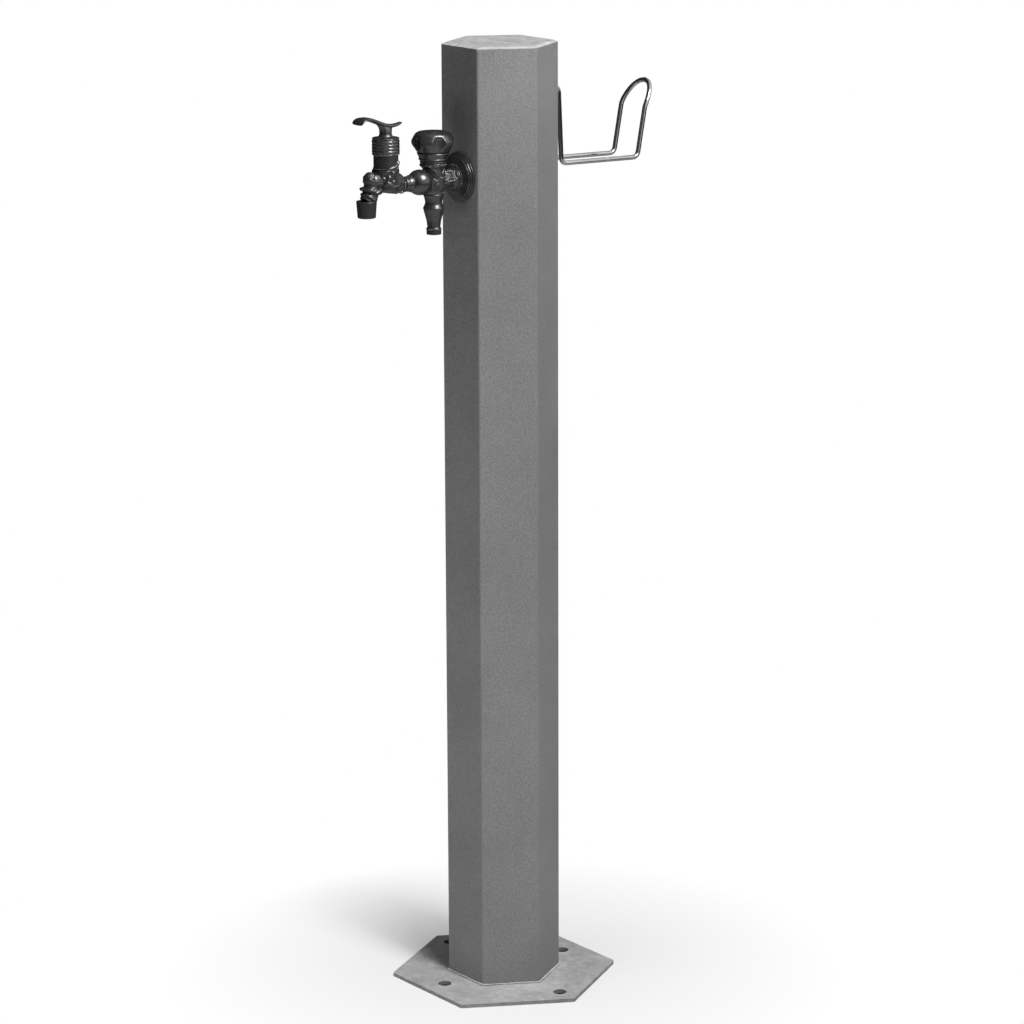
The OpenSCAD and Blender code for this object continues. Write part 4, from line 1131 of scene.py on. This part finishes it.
class STANDPIPE_OT_stage(bpy.types.Operator):
    """Sets up the floor, the studio light and the camera"""
    bl_idname = "standpipe.stage"
    bl_label = "Studio"

    def execute(self, context):
        light_studio(context.scene)
        light_world(context.scene)
        lay_floor()
        set_camera(context.scene)
        return {"FINISHED"}


def towards(azimuth, rise):
    """Unit vector towards an azimuth from +X and a height, both in degrees."""
    a, e = math.radians(azimuth), math.radians(rise)
    return Vector((math.cos(a) * math.cos(e), math.sin(a) * math.cos(e), math.sin(e)))


def light_studio(scene):
    """Soft box and fill on the holder's side, a low lamp on the tap's side, and a panel that shows
    in gloss only."""
    settings = scene.standpipe_stage
    for name, azimuth, rise, distance, width, height, power, aim in (
            ("Soft box", 0, 60, 2.3, 0.35, 0.6, settings.key_power, (0, -0.03, 0.75)),
            ("Shine panel", 15, 48, 2.3, 1.0, 1.0, settings.shine_power, (0, -0.1, 0.8)),
            ("Fill light", -10, 42, 2.4, 0.8, 0.8, settings.fill_power, (0, 0, 0.75)),
            ("Low light", -100, 14, 0.9, 0.5, 0.3, settings.low_power, (0, 0, 0.1))):
        lamp = bpy.data.lights.new(name, "AREA")
        lamp.shape = "RECTANGLE"
        lamp.size, lamp.size_y = width, height
        lamp.energy = power
        obj = object_of(name, lamp)
        direction = towards(azimuth, rise)
        obj.location = Vector(aim) + direction * distance
        obj.rotation_euler = direction.to_track_quat("Z", "Y").to_euler()
        obj.visible_camera = False
        obj.visible_glossy = name == "Shine panel"
        obj.visible_diffuse = name != "Shine panel"


def empty_tree(data):
    """The cleared node tree of a material or world."""
    data.use_nodes = True
    data.node_tree.nodes.clear()
    return Tree(data.node_tree)


def light_world(scene):
    """World that the camera sees white, weak on surfaces and bright on one side in reflections."""
    settings = scene.standpipe_stage
    scene.world = bpy.data.worlds.new("Studio")
    t = empty_tree(scene.world)
    rays = t.node("ShaderNodeLightPath").outputs
    way = t.node("ShaderNodeTexCoord").outputs["Generated"]
    side = t.node("ShaderNodeVectorMath", {"operation": "DOT_PRODUCT"}, i0=way,
                  i1=(0.6, 0.62, 0.5)).outputs["Value"]
    graded = t.span(side, settings.mirrored_dark, settings.mirrored_sky, 0.1, 0.9)
    lit = t.span(rays["Is Glossy Ray"], settings.sky, graded)
    seen = t.math("MAXIMUM", rays["Is Camera Ray"], rays["Is Transmission Ray"])
    sky = t.node("ShaderNodeBackground", Color=(1, 1, 1, 1), Strength=t.span(seen, lit, 1.0))
    t.node("ShaderNodeOutputWorld", Surface=sky.outputs[0])
    scene.view_settings.view_transform = "Standard"


def lay_floor():
    """Pale floor that shows white, keeps a soft shadow near the object, mirrors as a dark one and
    is painted dark under the plate, as shade in the fixing holes, which alone show it."""
    reach, hole_reach, hole_shade_end, pale_start = 14.0, 0.1032, 0.1030, 0.1034
    shadow_start, shadow_end = 0.1, 0.36
    mesh = bpy.data.meshes.new("floor")
    mesh.from_pydata([(-reach, -reach, 0), (reach, -reach, 0), (reach, reach, 0),
                      (-reach, reach, 0)], [], [(0, 1, 2, 3)])
    floor = object_of("floor", mesh)
    material = bpy.data.materials.new("Pale floor")
    t = empty_tree(material)
    rays = t.node("ShaderNodeLightPath").outputs
    away = t.node("ShaderNodeVectorMath", {"operation": "LENGTH"},
                  i0=t.node("ShaderNodeTexCoord").outputs["Object"]).outputs["Value"]
    pale = t.span(rays["Is Glossy Ray"], 0.9, 0.5)
    # Painted shade: the floor turns dark under the plate, so that the fixing holes look shaded.
    painted_hole_shade = t.span(away, 0.02, pale, hole_shade_end, pale_start)
    shown = t.math("MULTIPLY", t.span(away, 0.3, 1.0, shadow_start, shadow_end),
                   t.math("GREATER_THAN", away, hole_reach))
    mix = t.node("ShaderNodeMixShader", i0=t.math("MULTIPLY", rays["Is Camera Ray"], shown),
                 i1=t.node("ShaderNodeBsdfDiffuse", Color=painted_hole_shade).outputs[0],
                 i2=t.node("ShaderNodeEmission").outputs[0])
    t.node("ShaderNodeOutputMaterial", Surface=mix.outputs[0])
    mesh.materials.append(material)


def set_camera(scene):
    """Camera at the photograph's angle."""
    azimuth, rise, roll = math.radians(51.857), math.radians(14.113), math.radians(-0.234)
    distance, focal_pixels, frame_pixels = 3.902789, 3738.692, 1024
    back = Vector((math.sin(azimuth) * math.cos(rise), -math.cos(azimuth) * math.cos(rise),
                   math.sin(rise)))
    level = Vector((math.cos(azimuth), math.sin(azimuth), 0))
    rising = back.cross(level)
    right = level * math.cos(roll) + rising * math.sin(roll)
    upward = rising * math.cos(roll) - level * math.sin(roll)
    target = Vector((0, 0, 0.508389)) + right * 0.010519
    lens = bpy.data.cameras.new("Camera")
    lens.sensor_fit = "HORIZONTAL"
    lens.sensor_width = 36
    lens.lens = focal_pixels / frame_pixels * lens.sensor_width
    lens.clip_end = 60
    camera = object_of("Camera", lens)
    matrix = Matrix((right, upward, back)).transposed().to_4x4()
    matrix.translation = target + back * distance
    camera.matrix_world = matrix
    bpy.context.scene.camera = camera


class STANDPIPE_PT_panel(bpy.types.Panel):
    """Sizes, colours and steps of the standpipe"""
    bl_label = "Garden standpipe"
    bl_idname = "STANDPIPE_PT_panel"
    bl_space_type = "VIEW_3D"
    bl_region_type = "UI"
    bl_category = "Standpipe"

    def draw(self, context):
        scene = context.scene
        for group in (scene.standpipe_sizes, scene.standpipe_colours, scene.standpipe_stage):
            box = self.layout.box()
            for name in group.bl_rna.properties.keys():
                if name not in ("rna_type", "name"):
                    box.prop(group, name)
        for step in STEPS:
            self.layout.operator(step.bl_idname)


STEPS = (STANDPIPE_OT_stage, STANDPIPE_OT_post, STANDPIPE_OT_supply, STANDPIPE_OT_rear_valve,
         STANDPIPE_OT_front_valve, STANDPIPE_OT_handles, STANDPIPE_OT_outlets, STANDPIPE_OT_beads,
         STANDPIPE_OT_inner, STANDPIPE_OT_holder)
GROUPS = {"standpipe_sizes": StandpipeSizes, "standpipe_colours": StandpipeColours,
          "standpipe_stage": StandpipeStage}


def register():
    """Registers the property groups, the operators and the panel."""
    for item in (*GROUPS.values(), *STEPS, STANDPIPE_PT_panel):
        bpy.utils.register_class(item)
    for name, group in GROUPS.items():
        setattr(bpy.types.Scene, name, bpy.props.PointerProperty(type=group))


def unregister():
    """Takes them away again."""
    for name in GROUPS:
        delattr(bpy.types.Scene, name)
    for item in (STANDPIPE_PT_panel, *reversed(STEPS), *GROUPS.values()):
        bpy.utils.unregister_class(item)


def main():
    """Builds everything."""
    register()
    for step in STEPS:
        area, name = step.bl_idname.split(".")
        getattr(getattr(bpy.ops, area), name)()


if __name__ == "__main__":
    main()
